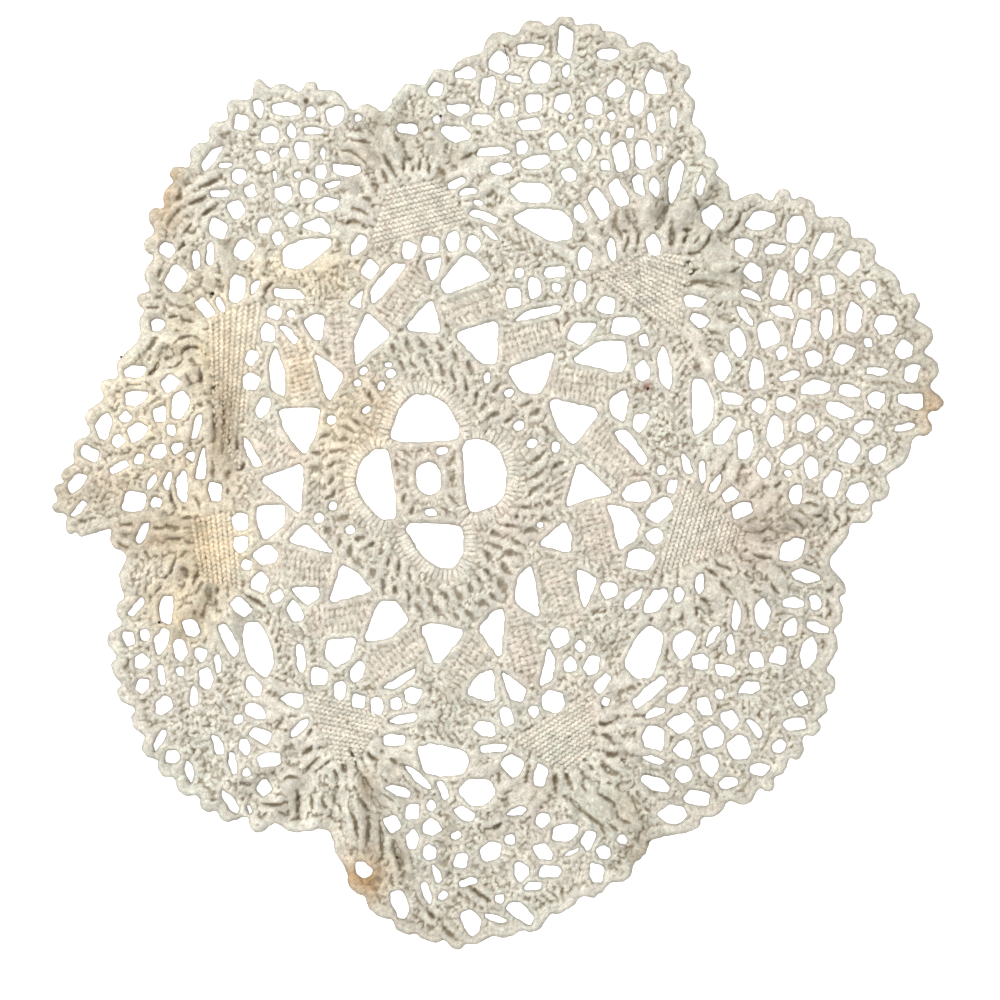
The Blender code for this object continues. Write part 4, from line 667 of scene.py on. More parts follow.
def oval(x, y, length, width, tilt, sides):
    """A soft four-cornered gap with its long side leaning at tilt degrees."""
    angle = 2 * math.pi * (np.arange(sides) + 0.5) / sides
    square = (np.abs(np.cos(angle)) ** 2.4 + np.abs(np.sin(angle)) ** 2.4) ** (-1 / 2.4)
    return turned(x, y, np.column_stack((0.5 * length * square * np.cos(angle),
                                         0.5 * width * square * np.sin(angle))), tilt)


def turned(x, y, shape, tilt):
    """A shape turned by tilt degrees and moved to x, y."""
    turn = math.radians(tilt)
    ways = np.array(((math.cos(turn), math.sin(turn)), (-math.sin(turn), math.cos(turn))))
    return shape @ ways + (x, y)


def net_gap(length, width, tilt, rng):
    """A gap of the net: four to six pulled corners, rounded off."""
    corners = np.array(rng.choice(NET_SHAPES)) * (length, width) * 1.04
    corners *= (rng.choice((-1, 1)), rng.choice((-1, 1)))
    corners += [(rng.uniform(-0.09, 0.09) * length, rng.uniform(-0.09, 0.09) * width)
                for _ in corners]
    corners[rng.randrange(len(corners))] *= 1.16
    return turned(0, 0, rounded(anticlockwise(corners), 0.14), tilt + rng.uniform(-8, 8))


def rim():
    """The scalloped outline, a blunt tip, then an uneven dip, all round, and its centre."""
    rng = random.Random(8)
    names = list(PETALS)
    tips = [np.array(tip, float) for name in names for tip in PETALS[name]]
    notch = [place == 0 for name in names for place in range(len(PETALS[name]))]
    deep = [TEETH.get(name, 1.0) for name in names for _ in PETALS[name]]
    outline = []
    for index, tip in enumerate(tips):
        before, after = tips[index - 1], tips[(index + 1) % len(tips)]
        if notch[index]:
            outline.append(tip)
        else:
            outline.append(tip + (before - tip) * rng.uniform(0.12, 0.24))
            outline.append(tip + (after - tip) * rng.uniform(0.12, 0.24))
        if notch[index] or notch[(index + 1) % len(tips)]:
            continue
        span = after - tip
        gap = float(np.hypot(*span))
        inward = np.array((-span[1], span[0])) / gap
        outline.append(tip + span * rng.uniform(0.38, 0.64)
                       + inward * min(gap * rng.uniform(0.26, 0.46), DIP) * deep[index])
    outline = np.array(outline)
    return rounded(outline, 0.22), (outline.min(0) + outline.max(0)) / 2


def anticlockwise(loop):
    """The loop, turned round if it runs clockwise."""
    x, y = loop[:, 0], loop[:, 1]
    return loop if np.dot(x, np.roll(y, -1)) > np.dot(y, np.roll(x, -1)) else loop[::-1]


def nearest(points, loop):
    """Least distance from each of the points to the closed loop."""
    run = np.roll(loop, -1, axis=0) - loop
    offset = points[:, None, :] - loop[None, :, :]
    share = np.clip((offset * run).sum(2) / np.maximum((run * run).sum(1), 1e-9), 0, 1)
    gap = offset - share[:, :, None] * run[None, :, :]
    return np.sqrt((gap * gap).sum(2)).min(1)


def inside(points, loop):
    """Which of the points lie within the loop."""
    end = np.roll(loop, -1, axis=0)
    px, py = points[:, 0][:, None], points[:, 1][:, None]
    crosses = (loop[None, :, 1] > py) != (end[None, :, 1] > py)
    rise = end[None, :, 1] - loop[None, :, 1]
    rise = np.where(np.abs(rise) < 1e-12, 1e-12, rise)
    at = loop[None, :, 0] + (py - loop[None, :, 1]) / rise * (end - loop)[None, :, 0]
    return (np.count_nonzero(crosses & (px < at), axis=1) % 2) == 1


def grown(loop, reach):
    """A loop with every corner moved outwards by reach."""
    run = np.roll(loop, -1, axis=0) - np.roll(loop, 1, axis=0)
    run /= np.maximum(np.hypot(run[:, 0], run[:, 1]), 1e-9)[:, None]
    return loop + np.column_stack((run[:, 1], -run[:, 0])) * reach


def curve(x0, y0, xm, ym, x1, y1, t):
    """The place at share t of a curve that starts at x0, y0 and bends through xm, ym."""
    return tuple((1 - t) ** 2 * start + 2 * t * (1 - t) * (2 * middle - (start + end) / 2)
                 + t * t * end for start, middle, end in ((x0, xm, x1), (y0, ym, y1)))


def course_gaps():
    """Places and sizes of the gaps in every course of the net."""
    for course in COURSES:
        if len(course) == 4:
            x, y, lean, letter = course
            yield x, y, *GAPS[letter], lean
            continue
        *places, lean0, lean1, letters = course
        for index, letter in enumerate(letters):
            if letter != ".":
                t = index / (len(letters) - 1)
                yield *curve(*places, t), *GAPS[letter], lean0 + (lean1 - lean0) * t


def openings(outline):
    """Every gap of the lace, as groups of loops: arches, windows and net."""
    rng = random.Random(11)
    groups = {
        "ring": [anticlockwise(oval(*EYELET, 20))],
        "arch": [anticlockwise(rounded(arch, 0.16)) for arch in ARCHES.values()],
        "window": [anticlockwise(rounded(c, 0.12)) for c in TRIANGLES + SURROUND],
        "eye": [anticlockwise(rounded(corners, 0.16)) for corners in EYES],
        "pin": [anticlockwise(oval(*hole, 10)) for hole in PINHOLES],
        "net": [],
    }
    made = [outline] + [loop for loops in groups.values() for loop in loops]
    for x, y, length, width, lean in sorted(course_gaps(), key=lambda gap: -gap[2] * gap[3]):
        shape = net_gap(length, width, lean, rng)
        middle = np.array((x, y))
        if not inside(middle[None, :], outline)[0]:
            continue
        near = [loop for loop in made if nearest(middle[None, :], loop)[0] < length + width]
        for _ in range(TRIES):
            loop = shape + middle
            room = min((min(nearest(loop, other).min(), nearest(other, loop).min())
                        for other in near), default=STRAND)
            blocked = any(inside(middle[None, :], other)[0] for other in near
                          if other is not outline)
            if room >= STRAND and not blocked:
                groups["net"].append(anticlockwise(loop))
                made.append(loop)
                break
            shape = shape * SMALLER
    return groups


def lift(points):
    """Height of the cloth's underside above the table, in mm."""
    x, y = points[:, 0], points[:, 1]
    height = np.zeros(len(points))
    for gx, gy, first, last, folds, near, far, rise in GATHERS:
        reach = np.hypot(x - gx, y - gy)
        middle = (first + last) / 2
        angle = np.degrees(np.arctan2(y - gy, x - gx))
        angle = (angle - middle + 180) % 360 - 180 + middle
        share = (angle - first) / (last - first)
        wave = np.sin(math.pi * folds * share) ** 2
        wave *= smoothstep((reach - near) / 8) * smoothstep((far - reach) / 14)
        height = np.maximum(height, np.where((share > 0) & (share < 1), rise * wave, 0))
    around = np.arctan2(y, x)
    out = smoothstep((np.hypot(x, y) - RIM_START) / (RIM_FULL - RIM_START))
    swing = np.sin(RIM_WAVES * around / 2 + 1.7 * np.sin(3 * around)) ** 2
    height = np.maximum(height, RIM_HEIGHT * out * swing)
    return np.where(height < TOUCH, 0.0, height)


def resample(loop, pitch):
    """Evenly spaced places along a closed loop, and the way the loop runs there."""
    closed = np.vstack((loop, loop[:1]))
    run = np.hypot(*np.diff(closed, axis=0).T)
    at = np.concatenate(([0], np.cumsum(run)))
    count = max(4, round(at[-1] / pitch))
    want = (np.arange(count) + 0.5) * at[-1] / count
    points = np.column_stack([np.interp(want, at, closed[:, n]) for n in (0, 1)])
    way = np.roll(points, -1, axis=0) - np.roll(points, 1, axis=0)
    return points, way / np.maximum(np.hypot(way[:, 0], way[:, 1]), 1e-9)[:, None]


class Chart:
    """The lace seen from above in small cells: where it is, how thick, and its stitches."""

    def __init__(self, outline, gaps):
        self.low = outline.min(0) - 4
        columns, rows = ((outline.max(0) + 4 - self.low) / CELL).astype(int)
        self.cloth = np.zeros((rows, columns), bool)
        self.edge = np.full((rows, columns), 9.0)
        for loop in [outline] + gaps:
            self.fill(loop, loop is outline)
            self.measure(loop)
        self.edge = np.where(self.cloth, self.edge, -self.edge)
        wobble = np.random.default_rng(3).normal(size=self.edge.shape)
        self.edge += soften(wobble, 3) * 0.45 * (np.abs(self.edge) < 2)
        self.taken = np.zeros_like(self.cloth)
        self.folds, self.lumps, self.cuts, self.under = (np.zeros((rows, columns))
                                                         for _ in range(4))
        self.light = np.full((rows, columns), 0.97)
        self.stitches = {}
        self.rng = random.Random(23)

    def fill(self, loop, value):
        """Marks the cells within a loop as cloth, or as a gap."""
        end = np.roll(loop, -1, axis=0)
        first, last = ((loop[:, 1].min(), loop[:, 1].max()) - self.low[1]) / CELL
        for row in range(int(first), int(last) + 2):
            y = self.low[1] + row * CELL
            cross = (loop[:, 1] > y) != (end[:, 1] > y)
            share = (y - loop[cross, 1]) / (end[cross, 1] - loop[cross, 1])
            xs = np.sort(loop[cross, 0] + share * (end[cross, 0] - loop[cross, 0]))
            for left, right in zip(xs[0::2], xs[1::2]):
                cells = slice(math.ceil((left - self.low[0]) / CELL),
                              math.floor((right - self.low[0]) / CELL) + 1)
                self.cloth[row, cells] = value

    def near(self, low, high):
        """The cells of a small box, and how far right and up they are on the chart."""
        first = np.maximum(((np.array(low) - self.low) / CELL).astype(int), 0)
        last = ((np.array(high) - self.low) / CELL).astype(int) + 2
        columns, rows = (np.arange(a, b) for a, b in zip(first, np.minimum(
            last, self.cloth.shape[::-1])))
        return (slice(first[1], first[1] + len(rows)), slice(first[0], first[0] + len(columns)),
                self.low[0] + columns[None, :] * CELL, self.low[1] + rows[:, None] * CELL)

    def measure(self, loop):
        """Notes how far the cells near a loop lie from it."""
        for start, end in zip(loop, np.roll(loop, -1, axis=0)):
            rows, columns, x, y = self.near(np.minimum(start, end) - 3, np.maximum(start, end) + 3)
            run = end - start
            share = np.clip(((x - start[0]) * run[0] + (y - start[1]) * run[1])
                            / max(run @ run, 1e-9), 0, 1)
            gap = np.hypot(x - start[0] - share * run[0], y - start[1] - share * run[1])
            self.edge[rows, columns] = np.minimum(self.edge[rows, columns], gap)

    def swell(self, field, x, y, angle, size, power=0.5, light=None):
        """Raises one rounded lump in a field; where lumps meet, the higher one shows."""
        length, width, height = size
        reach = max(length, width) / 2
        rows, columns, px, py = self.near((x - reach, y - reach), (x + reach, y + reach))
        turn = math.radians(angle)
        along = ((px - x) * math.cos(turn) + (py - y) * math.sin(turn)) * 2 / length
        across = ((py - y) * math.cos(turn) - (px - x) * math.sin(turn)) * 2 / width
        lump = height * np.maximum(1 - along ** 2 - across ** 2, 0) ** power
        higher = lump > field[rows, columns]
        field[rows, columns] = np.where(higher, lump, field[rows, columns])
        if light:
            self.light[rows, columns] = np.where(higher, light, self.light[rows, columns])

    def cells(self, x, y, angle, length, width):
        """The cells under a stitch."""
        turn = math.radians(angle)
        along = np.linspace(-0.45, 0.45, int(length / CELL) + 2)[:, None] * length
        across = np.linspace(-0.45, 0.45, int(width / CELL) + 2)[None, :] * width
        column = (x + along * math.cos(turn) - across * math.sin(turn) - self.low[0]) / CELL
        row = (y + along * math.sin(turn) + across * math.cos(turn) - self.low[1]) / CELL
        rows, columns = self.cloth.shape
        return (np.clip(row.ravel() + 0.5, 0, rows - 1).astype(int),
                np.clip(column.ravel() + 0.5, 0, columns - 1).astype(int))

    def place(self, layer, x, y, angle, size, rise=0.2, need=0.8, over=0.3):
        """Lays one stitch if enough of it is on the cloth and on no other stitch."""
        length, width, height = size
        under = self.cells(x, y, angle, length, width)
        if self.cloth[under].mean() < need or self.taken[under].mean() > over:
            return
        self.taken[under] = True
        vary = self.rng.uniform
        if layer == "lace":
            size = (length * vary(0.9, 1.35), width * vary(0.95, 1.2), height * vary(0.6, 1.25))
            self.swell(self.lumps, x, y, angle + vary(-20, 20), size, light=vary(0.9, 1.05))
        else:
            # the lace beneath a worked stitch gets painted shade
            self.under[under] = SHADE_BETWEEN_STITCHES[layer]
            self.stitches.setdefault(layer, []).append(
                (KINDS.index("post"), x, y, angle + vary(-7, 7), length * vary(0.94, 1.08),
                 width * vary(0.94, 1.06), height * vary(0.9, 1.1), rise + vary(-0.08, 0.08),
                 vary(0.99, 1.11)))

    def rows(self, loop, out, offset, pitch, lean, size, layer="lace", **limits):
        """A row of stitches along a loop, offset mm into the cloth and leaning."""
        points, way = resample(loop, pitch)
        side = np.column_stack((-way[:, 1], way[:, 0])) * (-1 if out else 1)
        for (x, y), (dx, dy) in zip(points + side * offset, side):
            self.place(layer, x, y, math.degrees(math.atan2(dy, dx)) + lean, size, **limits)

    def line(self, layer, x0, y0, x1, y1, pitch, lean, size, **limits):
        """A row of stitches along a straight line, leaning from its direction."""
        count = max(1, round(math.hypot(x1 - x0, y1 - y0) / pitch))
        angle = math.degrees(math.atan2(y1 - y0, x1 - x0)) + lean
        for index in range(count):
            t = (index + 0.5) / count
            self.place(layer, x0 + (x1 - x0) * t, y0 + (y1 - y0) * t, angle, size, **limits)

    def cord(self, loop, pitch, offset, width, height, power=0.5):
        """A smooth cord beside a loop, offset mm out from it, or in where that is below 0."""
        points, way = resample(loop, pitch)
        for x, y in points + np.column_stack((way[:, 1], -way[:, 0])) * offset:
            self.swell(self.folds, x, y, 0, (width, width, height), power)

    def route(self, x0, y0, xm, ym, x1, y1, pitch):
        """Places along a curve through three points, with how far along each one is."""
        length = math.hypot(xm - x0, ym - y0) + math.hypot(x1 - xm, y1 - ym)
        steps = max(3, round(length / pitch))
        for index in range(steps + 1):
            yield *curve(x0, y0, xm, ym, x1, y1, index / steps), index / steps

    def fold(self, *places, width, height, blunt=0.5):
        """A soft ridge along a curve, lower and narrower at its ends."""
        for x, y, t in self.route(*places, width * 0.22):
            full = (1 - abs(2 * t - 1) ** 4) ** blunt
            self.swell(self.folds, x, y, 0, (width * (0.6 + 0.4 * full),) * 2
                       + (height * full,), power=0.6)

    def slit(self, *places, width, depth):
        """A narrow dark slit along a curve."""
        for x, y, t in self.route(*places, width * 0.3):
            full = (1 - abs(2 * t - 1) ** 1.6) * self.rng.uniform(0.8, 1.15)
            self.swell(self.cuts, x + self.rng.uniform(-0.15, 0.15), y, 0,
                       (width * (0.35 + 0.65 * full),) * 2 + (depth * (0.3 + 0.7 * full),),
                       power=0.6)

    def shape(self, thick):
        """Thickness of the lace in every cell, and how much painted shade falls on the cell from
        creases, dips, slits and worked stitches.
        """
        fuzz = soften(np.random.default_rng(9).normal(size=self.edge.shape), 1) * 0.12
        body = np.sqrt(1 - (1 - np.clip(self.edge / ROUND, 0, 1)) ** 2)
        folds = soften(self.folds, 1)
        lumps = self.lumps * (1 - 0.5 * np.clip(folds, 0, 1.2))
        # where the cords round two gaps meet, the net sinks in between, here more, there less
        rows, columns = np.indices(self.edge.shape)
        from_middle = np.hypot(self.low[0] + columns * CELL, self.low[1] + rows * CELL)
        patchy = soften(np.random.default_rng(17).normal(size=self.edge.shape), 10)
        patchy = smoothstep(patchy / patchy.std() * 0.6 + 0.5)
        sunk = (SUNK * patchy * smoothstep((self.edge - CORD) / 0.9) * (self.under == 0)
                * (1 - np.clip(folds, 0, 1)) * smoothstep((from_middle - MIDDLE) / 4))
        height = BLUNT + body * (thick + folds + lumps + fuzz - sunk)
        height = np.maximum(height - soften(self.cuts, 1), BLUNT)
        level = np.where(self.edge > 0, height, soften(height, 3))
        # shade lies beside each lump, in broad dips and in the slits
        deep = (np.clip((soften(level, 3) - height) / 0.35, 0, 1) * 0.55
                + np.clip((soften(level, 16) - height) / 1.2, 0, 0.4)
                + np.clip(self.cuts, 0, 1.2) * 0.4)
        deep = np.maximum(deep, soften(self.under, 1))
        return height, np.clip(deep * body, 0, np.where(from_middle < MIDDLE, DARKEST, 1))


def soften(field, times):
    """A field blurred a little, again and again."""
    for _ in range(times):
        for axis in (0, 1):
            field = (np.roll(field, 1, axis) + 2 * field + np.roll(field, -1, axis)) / 4
    return field


def lay_stitches():
    """Plans every stitch of the doily, layer by layer."""
    outline, centre = rim()
    groups = openings(outline)
    gaps = [loop for loops in groups.values() for loop in loops]
    chart = Chart(outline, gaps)
    rng = random.Random(5)
    lay_rim(chart, outline)
    lay_middle(chart, groups, rng)
    lay_bars(chart, groups["window"])
    lay_wedges(chart)
    lay_gathers(chart, rng)
    for x, y, length, width, tilt in SPECKS:
        rise = 0.4 if length < 3 else 1.6  # a loose thread lies over the stitches
        chart.stitches.setdefault("specks", []).append(
            (KINDS.index("rope"), x, y, tilt, length, width, 0.4, rise, 1.0))
    for offset in ROUNDS:
        for name in ("window", "eye", "net", "pin"):
            for loop in groups[name]:
                chart.rows(loop, True, offset, 1.3, 58, LUMP, need=0.75, over=0.4)
    rows, columns = chart.cloth.shape
    # short hollows here and there in the net, then stitches wherever there is room
    for _ in range(HOLLOWS):
        row, column = rng.randrange(rows), rng.randrange(columns)
        x, y = chart.low + np.array((column, row)) * CELL
        if chart.edge[row, column] < 1.5 or chart.folds[row, column] > 0.4 \
                or chart.under[row, column] or math.hypot(x, y) < MIDDLE + 4:
            continue
        angle = 2 * math.sin(x / 13) + 2 * math.cos(y / 11) + rng.uniform(-0.6, 0.6)
        reach = rng.uniform(1.2, 2.6)
        ax, ay = reach * math.cos(angle), reach * math.sin(angle)
        bend = rng.uniform(-0.5, 0.5)
        chart.slit(x - ax, y - ay, x - bend * ay, y + bend * ax, x + ax, y + ay,
                   width=rng.uniform(0.7, 1.1), depth=rng.uniform(0.45, 0.8))
    for row in range(int(rows * CELL / 1.2)):
        for column in range(int(columns * CELL / 1.4)):
            x = chart.low[0] + (column + 0.5 * (row % 2)) * 1.4 + rng.uniform(-0.3, 0.3)
            y = chart.low[1] + row * 1.2 + rng.uniform(-0.3, 0.3)
            angle = 90 * math.sin(x / 9 + 2 * math.sin(y / 11)) + (-1) ** row * 30
            chart.place("lace", x, y, angle, LUMP, need=0.85, over=0.45)
    return outline, gaps, chart, centre


def lay_rim(chart, outline):
    """A heavy cord along the edge, made of slanting lumps, and a second one inside it."""
    for offset, lean in ((1.2, 42), (3.0, -48)):
        chart.rows(outline, False, offset, 1.5, lean, (2.6, 1.5, 0.9), need=0.6, over=0.5)
    chart.cord(outline, 1.0, -1.9, 3.6, 0.9, power=0.6)


def lay_middle(chart, groups, rng):
    """The ring, the cords of its frame, ribs round the arches and the knobbly band."""
    for x0, y0, x1, y1, width in CORDS:
        chart.fold(x0, y0, (x0 + x1) / 2, (y0 + y1) / 2, x1, y1, width=width, height=0.9,
                   blunt=0.2)
    for loop in groups["ring"]:
        chart.cord(loop, 0.6, 1.3, 2.5, 0.9)
        chart.rows(loop, True, 1.2, 1.1, 8, (2.2, 1.2, 0.6), need=0.7, over=0.6)
    # small knobs fill the frame, and nothing else is worked over it
    for _ in range(420):
        chart.place("lace", rng.uniform(-11.5, 10), rng.uniform(-12.5, 11),
                    rng.uniform(0, 180), (1.7, 1.15, 0.6), over=0.7)
    rows, columns, *_ = chart.near((-11.6, -12.4), (10, 11))
    chart.taken[rows, columns] = True
    for x, y, length, width, tilt in SLITS:
        ax, ay = (0.5 * length * f(math.radians(tilt)) for f in (math.cos, math.sin))
        chart.slit(x - ax, y - ay, x, y, x + ax, y + ay, width=width, depth=1.25)
    for loop in groups["arch"]:
        chart.rows(loop, True, 2.2, 1.12, 0, (3.9, 1.6, 0.5), layer="ribs", over=0.8, rise=0.1)
        chart.rows(loop, True, 4.9, 1.45, 14, LUMP, over=0.45)


def lay_bars(chart, windows):
    """A smooth cord round each window, and short lumps across each bar, worked in rows."""
    for loop in windows:
        chart.cord(loop, 0.6, 1.1, 2.1, 0.5)
    for x0, y0, x1, y1, width in BARS:
        run = np.array((x1 - x0, y1 - y0))
        reach = float(np.hypot(*run))
        run /= reach
        across = np.array((-run[1], run[0]))
        ribs = 1 if width < 4 else round(width / 2.4)
        for index in range(round((reach + 3) / 1.5)):
            along = -1.5 + (index + 0.5) * 1.5
            for rib in range(ribs):
                place = (np.array((x0, y0)) + run * (along + chart.rng.uniform(-0.25, 0.25))
                         + across * width * ((rib + 0.5) / ribs - 0.5))
                lean = (-1) ** rib * 16 + chart.rng.uniform(-20, 20)
                chart.place("lace", *place, math.degrees(math.atan2(*across[::-1])) + lean,
                            (width / ribs + 0.1, 1.4, 0.6), need=0.7, over=0.5)


def lay_wedges(chart):
    """Rows of small slanting stitches in the solid wedges."""
    for x0, y0, x1, y1, x2, y2, x3, y3 in WEDGES:
        base, top = np.array(((x0, y0), (x1, y1))), np.array(((x2, y2), (x3, y3)))
        rows = round(float(np.hypot(*(top.mean(0) - base.mean(0)))) / 1.4)
        for row in range(rows):
            ends = base + (top - base) * (row + 0.5) / rows
            chart.line("wedges", *ends.ravel(), 1.4, (-1) ** row * 30,
                       (1.95, 1.32, 1.05), rise=0.1, over=0.5)


def fan_out(chart, rng, middle, start, end):
    """Folds that run out from one side of a wedge, first the near round, then the far one."""
    side = end - start
    reach = float(np.hypot(*side))
    face = np.array((side[1], -side[0])) / reach
    face *= np.sign(face @ (start + end - 2 * middle))
    for pitch, spread, gap, length, bend, width, height in FANS:
        count = round(reach / pitch)
        for step in range(count):
            root = start + side * (step + 0.5) / count
            way = face + (root - middle) / np.hypot(*(root - middle))
            lean = math.atan2(way[1], way[0]) + math.radians(rng.uniform(-spread, spread))
            away = np.array((math.cos(lean), math.sin(lean)))
            across = np.array((-away[1], away[0]))
            a = root + away * (rng.uniform(*gap) if gap else BESIDE)
            b = a + away * rng.uniform(*length)
            m = (a + b) / 2 + across * rng.uniform(-bend, bend)
            chart.fold(*a, *m, *b, width=width, height=height)


def lay_gathers(chart, rng):
    """Folds that run out from each wedge's sides, with narrow dark slits between them."""
    for x0, y0, x1, y1, x2, y2, x3, y3 in WEDGES:
        corners = [np.array(c) for c in ((x0, y0), (x2, y2), (x3, y3), (x1, y1))]
        for start, end in zip(corners, corners[1:]):
            fan_out(chart, rng, sum(corners) / 4, start, end)
    for *places, width, height in FOLDS:
        chart.fold(*places, width=width, height=height)
    for *places, width in CREASES:
        x0, y0, _, _, x1, y1 = places
        beside = np.array((y0 - y1, x1 - x0)) / math.hypot(x1 - x0, y1 - y0)
        for shift in (-1.2 - width / 2, 1.2 + width / 2):
            chart.fold(*(np.array(places) + np.tile(beside * shift, 3)), width=2.5, height=1.1)
        chart.slit(*places, width=width * 1.35, depth=1.8 - 0.4 * width)


def tints(points):
    """How strongly each discoloration, painted light and painted shade shows at each of the
    places, and how warm it is.
    """
    found = {name: np.zeros(len(points)) for name in TINTS}
    for x, y, rx, ry, tint, strength in STAINS_LIGHT_AND_SHADE:
        gap = ((points[:, 0] - x) / rx) ** 2 + ((points[:, 1] - y) / ry) ** 2
        found[tint] = np.maximum(found[tint], strength * np.exp(-1.1 * gap))
    # the closely worked bars and wedges are a little rosier than the net
    close = np.zeros(len(points))
    for x0, y0, x1, y1, width in BARS:
        start, run = np.array((x0, y0)), np.array((x1 - x0, y1 - y0))
        share = np.clip((points - start) @ run / (run @ run), 0, 1)
        gap = np.hypot(*(points - start - share[:, None] * run).T)
        close = np.maximum(close, smoothstep((width / 2 + 0.5 - gap) / 1.5))
    for x0, y0, x1, y1, x2, y2, x3, y3 in WEDGES:
        close[inside(points, np.array(((x0, y0), (x1, y1), (x3, y3), (x2, y2))))] = 0.5
    found["pink"] = np.maximum(found["pink"], ROSY * close)
    return found


def strand(name, sides, rings, arch, sway, twist, full):
    """A stitch of unit size along X: two twisted plies in one rounded strand."""
    verts, faces = [(-0.5, 0, -arch)], []
    for ring in range(rings):
        t = (ring + 0.5) / rings
        body = (1 - abs(2 * t - 1) ** full) ** 0.5
        for side in range(sides):
            angle = 2 * math.pi * side / sides
            ply = 0.5 * body * (1 + 0.16 * math.cos(2 * (angle - twist * t)))
            verts.append((t - 0.5, ply * math.cos(angle) + sway * math.sin(2 * math.pi * t),
                          ply * math.sin(angle) - arch * (2 * t - 1) ** 2))
    verts.append((0.5, 0, -arch))
    last = len(verts) - 1
    for side in range(sides):
        after = (side + 1) % sides
        faces.append((0, 1 + after, 1 + side))
        for ring in range(rings - 1):
            a, b = 1 + ring * sides + side, 1 + ring * sides + after
            faces.append((a, b, b + sides, a + sides))
        faces.append((last, last - sides + side, last - sides + after))
    mesh = bpy.data.meshes.new(name)
    mesh.from_pydata(verts, [], faces)
    mesh.validate()
    return placed(name, mesh)


def stitch_tree():
    """Puts a strand on every point, sized and turned by the point's own values."""
    tree = bpy.data.node_groups.new("Crochet stitches", "GeometryNodeTree")
    for name, kind in (("Stitches", "Geometry"), *((f"{kind} shape", "Object") for kind in KINDS),
                       ("Cotton", "Material"), ("Unevenness", "Float"), ("Seed", "Int")):
        tree.interface.new_socket(name, in_out="INPUT", socket_type=f"NodeSocket{kind}")
    tree.interface.new_socket("Stitches", in_out="OUTPUT", socket_type="NodeSocketGeometry")
    given = add(tree, "NodeGroupInput").outputs
    kind_of, turn, size = (
        add(tree, "GeometryNodeInputNamedAttribute", {"data_type": form, "Name": name})
        for form, name in (("FLOAT", "kind"), ("FLOAT_VECTOR", "turn"), ("FLOAT_VECTOR", "size")))
    # each stitch is a little larger or smaller than planned
    swing = add(tree, "FunctionNodeRandomValue", {"data_type": "FLOAT", 2: -1.0, 3: 1.0},
                {"Seed": given["Seed"]})
    grown_by = add(tree, "ShaderNodeMath", {"operation": "MULTIPLY_ADD", 2: 1.0},
                   {0: swing.outputs[1], 1: given["Unevenness"]})
    scale = add(tree, "ShaderNodeVectorMath", {"operation": "SCALE"},
                {0: size, "Scale": grown_by})
    euler = add(tree, "FunctionNodeEulerToRotation", links={"Euler": turn})
    every = add(tree, "GeometryNodeJoinGeometry")
    for number, kind in enumerate(KINDS):
        shape = add(tree, "GeometryNodeObjectInfo", links={"Object": given[f"{kind} shape"]})
        same = add(tree, "FunctionNodeCompare", {"data_type": "FLOAT", "operation": "EQUAL",
                                                 1: float(number), "Epsilon": 0.1},
                   {0: kind_of})
        put = add(tree, "GeometryNodeInstanceOnPoints", links={
            "Points": given["Stitches"], "Selection": same, "Instance":
            shape.outputs["Geometry"], "Rotation": euler, "Scale": scale})
        tree.links.new(put.outputs[0], every.inputs[0])
    real = add(tree, "GeometryNodeRealizeInstances", links={"Geometry": every})
    smooth = add(tree, "GeometryNodeSetShadeSmooth", links={"Geometry": real})
    dyed = add(tree, "GeometryNodeSetMaterial",
               links={"Geometry": smooth, "Material": given["Cotton"]})
    add(tree, "NodeGroupOutput", links={"Stitches": dyed})
    return tree


def to_frame(points, z):
    """Chart places and heights in mm as places in the frame, in metres."""
    flat = (np.asarray(points, float) - plan()["middle"]) * MM
    return np.column_stack((flat, np.asarray(z, float) * MM))


_plan = {}


def plan():
    """The outline, the gaps, every stitch and the lace's thickness, worked out once."""
    if not _plan:
        outline, gaps, chart, middle = lay_stitches()
        height, deep = chart.shape(bpy.context.scene.doily_sizes.thick / MM)
        _plan.update(outline=outline, gaps=gaps, chart=chart, middle=middle, height=height,
                     deep=deep)
    return _plan


def mark_stains_light_and_shade(mesh):
    """Writes on a mesh's points how strongly each discoloration, painted light and painted shade
    shows there.
    """
    co = np.empty(len(mesh.vertices) * 3)
    mesh.vertices.foreach_get("co", co)
    places = co.reshape(-1, 3)[:, :2] / MM + plan()["middle"]
    for name, values in tints(places).items():
        mesh.attributes.new(name, "FLOAT", "POINT").data.foreach_set("value", values)


def cloth_object(name, points, faces, light=None, deep=None):
    """A cloth piece from places in the frame, with its painted light and shade and its
    discolorations.
    """
    mesh = bpy.data.meshes.new(name)
    sizes = np.concatenate([np.full(len(group), group.shape[1]) for group in faces])
    corners = np.concatenate([group.ravel() for group in faces])
    mesh.vertices.add(len(points))
    mesh.vertices.foreach_set("co", points.ravel())
    mesh.loops.add(len(corners))
    mesh.loops.foreach_set("vertex_index", corners.astype(np.int32))
    mesh.polygons.add(len(sizes))
    mesh.polygons.foreach_set("loop_start", np.concatenate(([0], np.cumsum(sizes)[:-1])))
    mesh.update(calc_edges=True)
    mesh.validate()
    mesh.polygons.foreach_set("use_smooth", [True] * len(mesh.polygons))
    for word, values in (("light", light), ("deep", deep)):
        if values is not None:
            mesh.attributes.new(word, "FLOAT", "POINT").data.foreach_set("value", values)
    mark_stains_light_and_shade(mesh)
    mesh.materials.append(cotton(bpy.context.scene.doily_colours))
    thing = placed(name, mesh)
    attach(thing, "root")
    return thing


